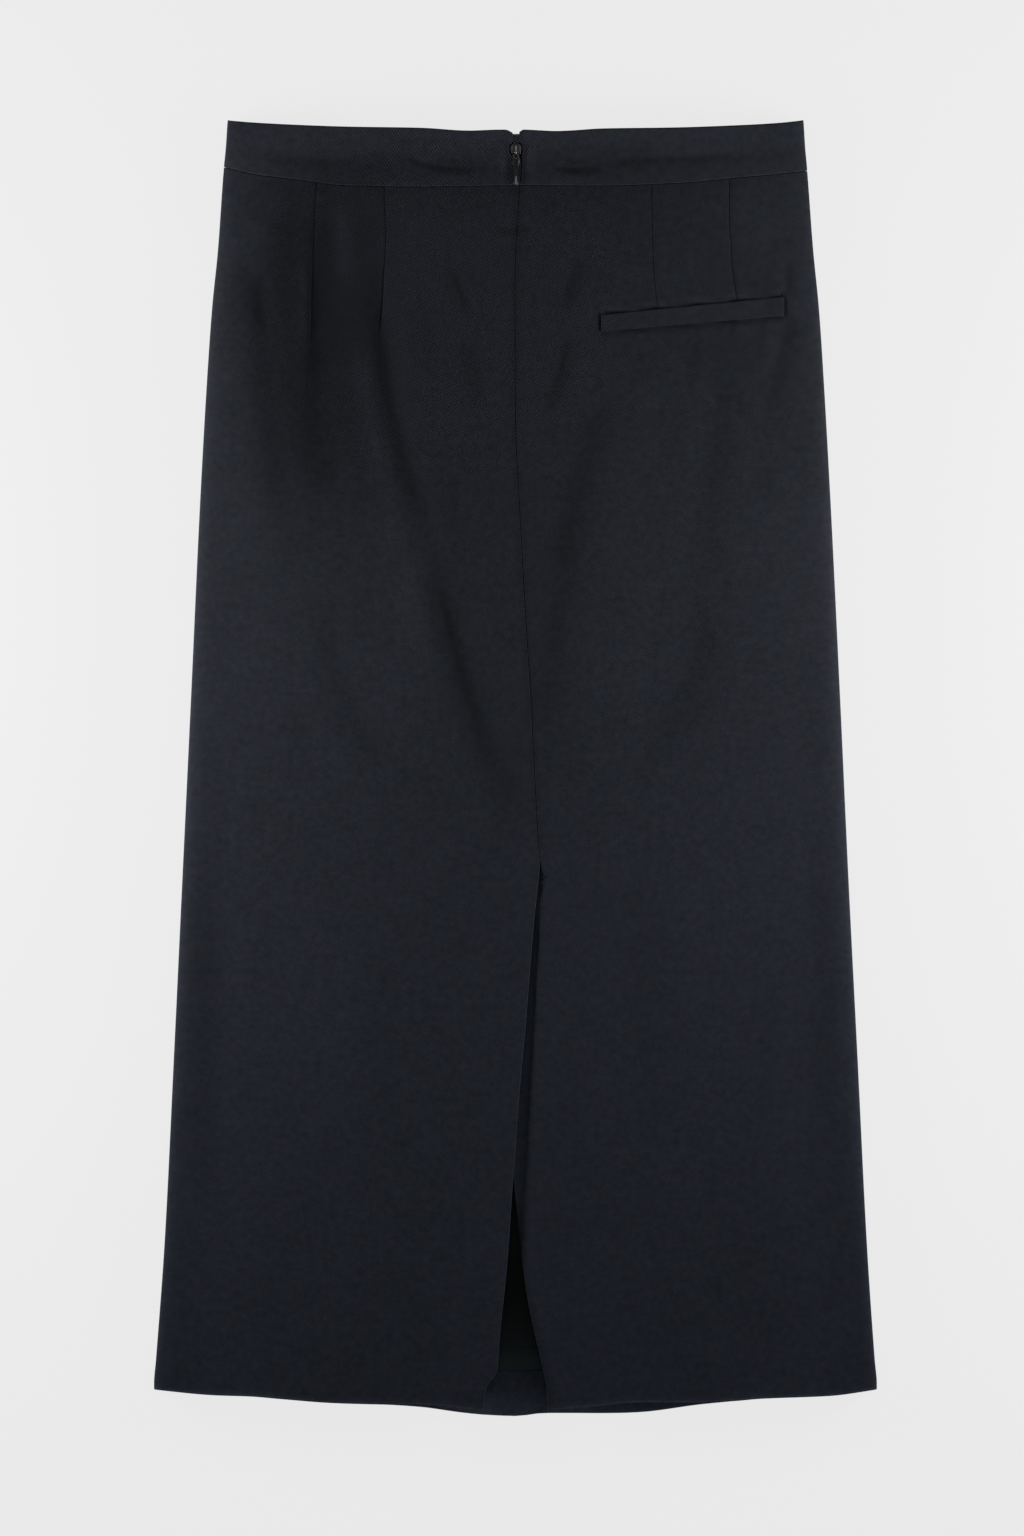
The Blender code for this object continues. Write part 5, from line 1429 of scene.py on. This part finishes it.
DARK, LIGHT = (0.0055, 0.0059, 0.0077), (0.0228, 0.0249, 0.0320)
mat_body = twill("wool_twill", DARK, LIGHT, 38.0)
mat_band_left = twill("wool_twill_band_left", DARK, LIGHT, -32.0, pitch=1.72, contrast=0.60)
mat_band_right = twill("wool_twill_band_right", DARK, LIGHT, 29.0, pitch=1.72, contrast=0.60)
mat_welt = twill("wool_twill_welt", DARK, LIGHT, 41.0)
mat_lining = satin("lining_satin", (0.0020, 0.0029, 0.0031), (0.0045, 0.0059, 0.0061))
# the tape's colours are set a little lighter, as painted light against the shade it lies in down in the zip's opening
mat_tape = tape_cloth("zip_tape_weave", (0.011, 0.012, 0.014), (0.024, 0.026, 0.031))
mat_coil = nylon("zip_nylon", (0.06, 0.06, 0.066), (0.12, 0.12, 0.128))
mat_metal = gunmetal("zip_gunmetal")


# ------------------------------------------------------------------------ pieces
def finish_piece(obj, node, body, material):
    obj.data.materials.clear()
    obj.data.materials.append(material)
    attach(obj, body)
    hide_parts(node)
    return obj


back_left = finish_piece(back_panel("back_left_cloth", True), "back_left_panel", BODY, mat_body)
back_right = finish_piece(back_panel("back_right_cloth", False), "back_right_panel", BODY, mat_body)
front = finish_piece(front_panel(), "front_panel", BODY, mat_body)
band_f = finish_piece(front_band(), "waistband_front", BODY, mat_band_right)
band_l = finish_piece(back_band("band_left_cloth", True), "waistband_back_left", BODY, mat_band_left)
band_r = finish_piece(back_band("band_right_cloth", False), "waistband_back_right", BODY, mat_band_right)
welt = finish_piece(pocket_welt(), "pocket_welt", BODY, mat_welt)
lining = finish_piece(front_lining(), "front_lining", BODY, mat_lining)
tape = finish_piece(zip_tape(), "zip_tape", BODY, mat_tape)
coil = finish_piece(zip_coil(), "zip_coil", BODY, mat_coil)
slider = finish_piece(zip_slider(), "zip_slider", BODY, mat_metal)
pull = finish_piece(zip_pull(), "zip_pull", PULL, mat_metal)


# --------------------------------------------------------- floor, light and camera
def floor():
    mesh = bpy.data.meshes.new("floor")
    s = 6.0
    mesh.from_pydata([(-s, -s, -0.0002), (s, -s, -0.0002), (s, s, -0.0002), (-s, s, -0.0002)], [], [(0, 1, 2, 3)])
    obj = bpy.data.objects.new("floor", mesh)
    bpy.context.scene.collection.objects.link(obj)
    mat, tree, bsdf = nodes_of("pale_floor")
    bsdf.inputs["Base Color"].default_value = (0.045, 0.045, 0.045, 1.0)
    bsdf.inputs["Roughness"].default_value = 0.9
    bsdf.inputs["Specular IOR Level"].default_value = 0.0
    bsdf.inputs["Emission Color"].default_value = (1.0, 1.0, 1.0, 1.0)
    bsdf.inputs["Emission Strength"].default_value = 0.79
    # seen from under it the floor is clear, so the underside can be looked at
    clear = tree.nodes.new("ShaderNodeBsdfTransparent")
    mix = tree.nodes.new("ShaderNodeMixShader")
    side = tree.nodes.new("ShaderNodeNewGeometry")
    out = next(n for n in tree.nodes if n.type == "OUTPUT_MATERIAL")
    tree.links.new(side.outputs["Backfacing"], mix.inputs[0])
    tree.links.new(bsdf.outputs[0], mix.inputs[1])
    tree.links.new(clear.outputs[0], mix.inputs[2])
    tree.links.new(mix.outputs[0], out.inputs["Surface"])
    mesh.materials.append(mat)
    return obj


floor()

world = bpy.data.worlds.new("studio")
world.use_nodes = True
world.node_tree.nodes["Background"].inputs["Color"].default_value = (1.0, 1.0, 1.0, 1.0)
world.node_tree.nodes["Background"].inputs["Strength"].default_value = 0.26
bpy.context.scene.world = world


def softbox(name, at, target, width, height, power):
    data = bpy.data.lights.new(name, "AREA")
    data.shape = "RECTANGLE"
    data.size, data.size_y = width, height
    data.energy = power
    obj = bpy.data.objects.new(name, data)
    obj.location = at
    obj.rotation_mode = "QUATERNION"
    obj.rotation_quaternion = (Vector(target) - Vector(at)).to_track_quat("-Z", "Y")
    obj.visible_camera = False
    bpy.context.scene.collection.objects.link(obj)
    return obj


softbox("softbox_left", (-0.88, 0.12, 0.18), (0.10, 0.12, 0.0), 0.50, 0.16, 14.6)
softbox("softbox_right", (0.88, 0.12, 0.18), (-0.10, 0.12, 0.0), 0.50, 0.16, 14.2)

# high and behind the waist: it only glints in the zip's metal
softbox("softbox_high", (0.0, 0.887, 1.43), (0.0, 0.43, 0.0), 0.42, 0.62, 0.50)

cam_data = bpy.data.cameras.new("camera")
cam_data.lens = 36.0 * 6.0 / 1.0752
cam_data.clip_start, cam_data.clip_end = 0.1, 50.0
cam = bpy.data.objects.new("camera", cam_data)
cam.location = (-0.0023, -0.0005, 6.0)
cam.rotation_euler = (0.0, 0.0, 0.0)
bpy.context.scene.collection.objects.link(cam)
bpy.context.scene.camera = cam
bpy.context.scene.view_settings.view_transform = "Standard"
bpy.context.scene.view_settings.look = "None"
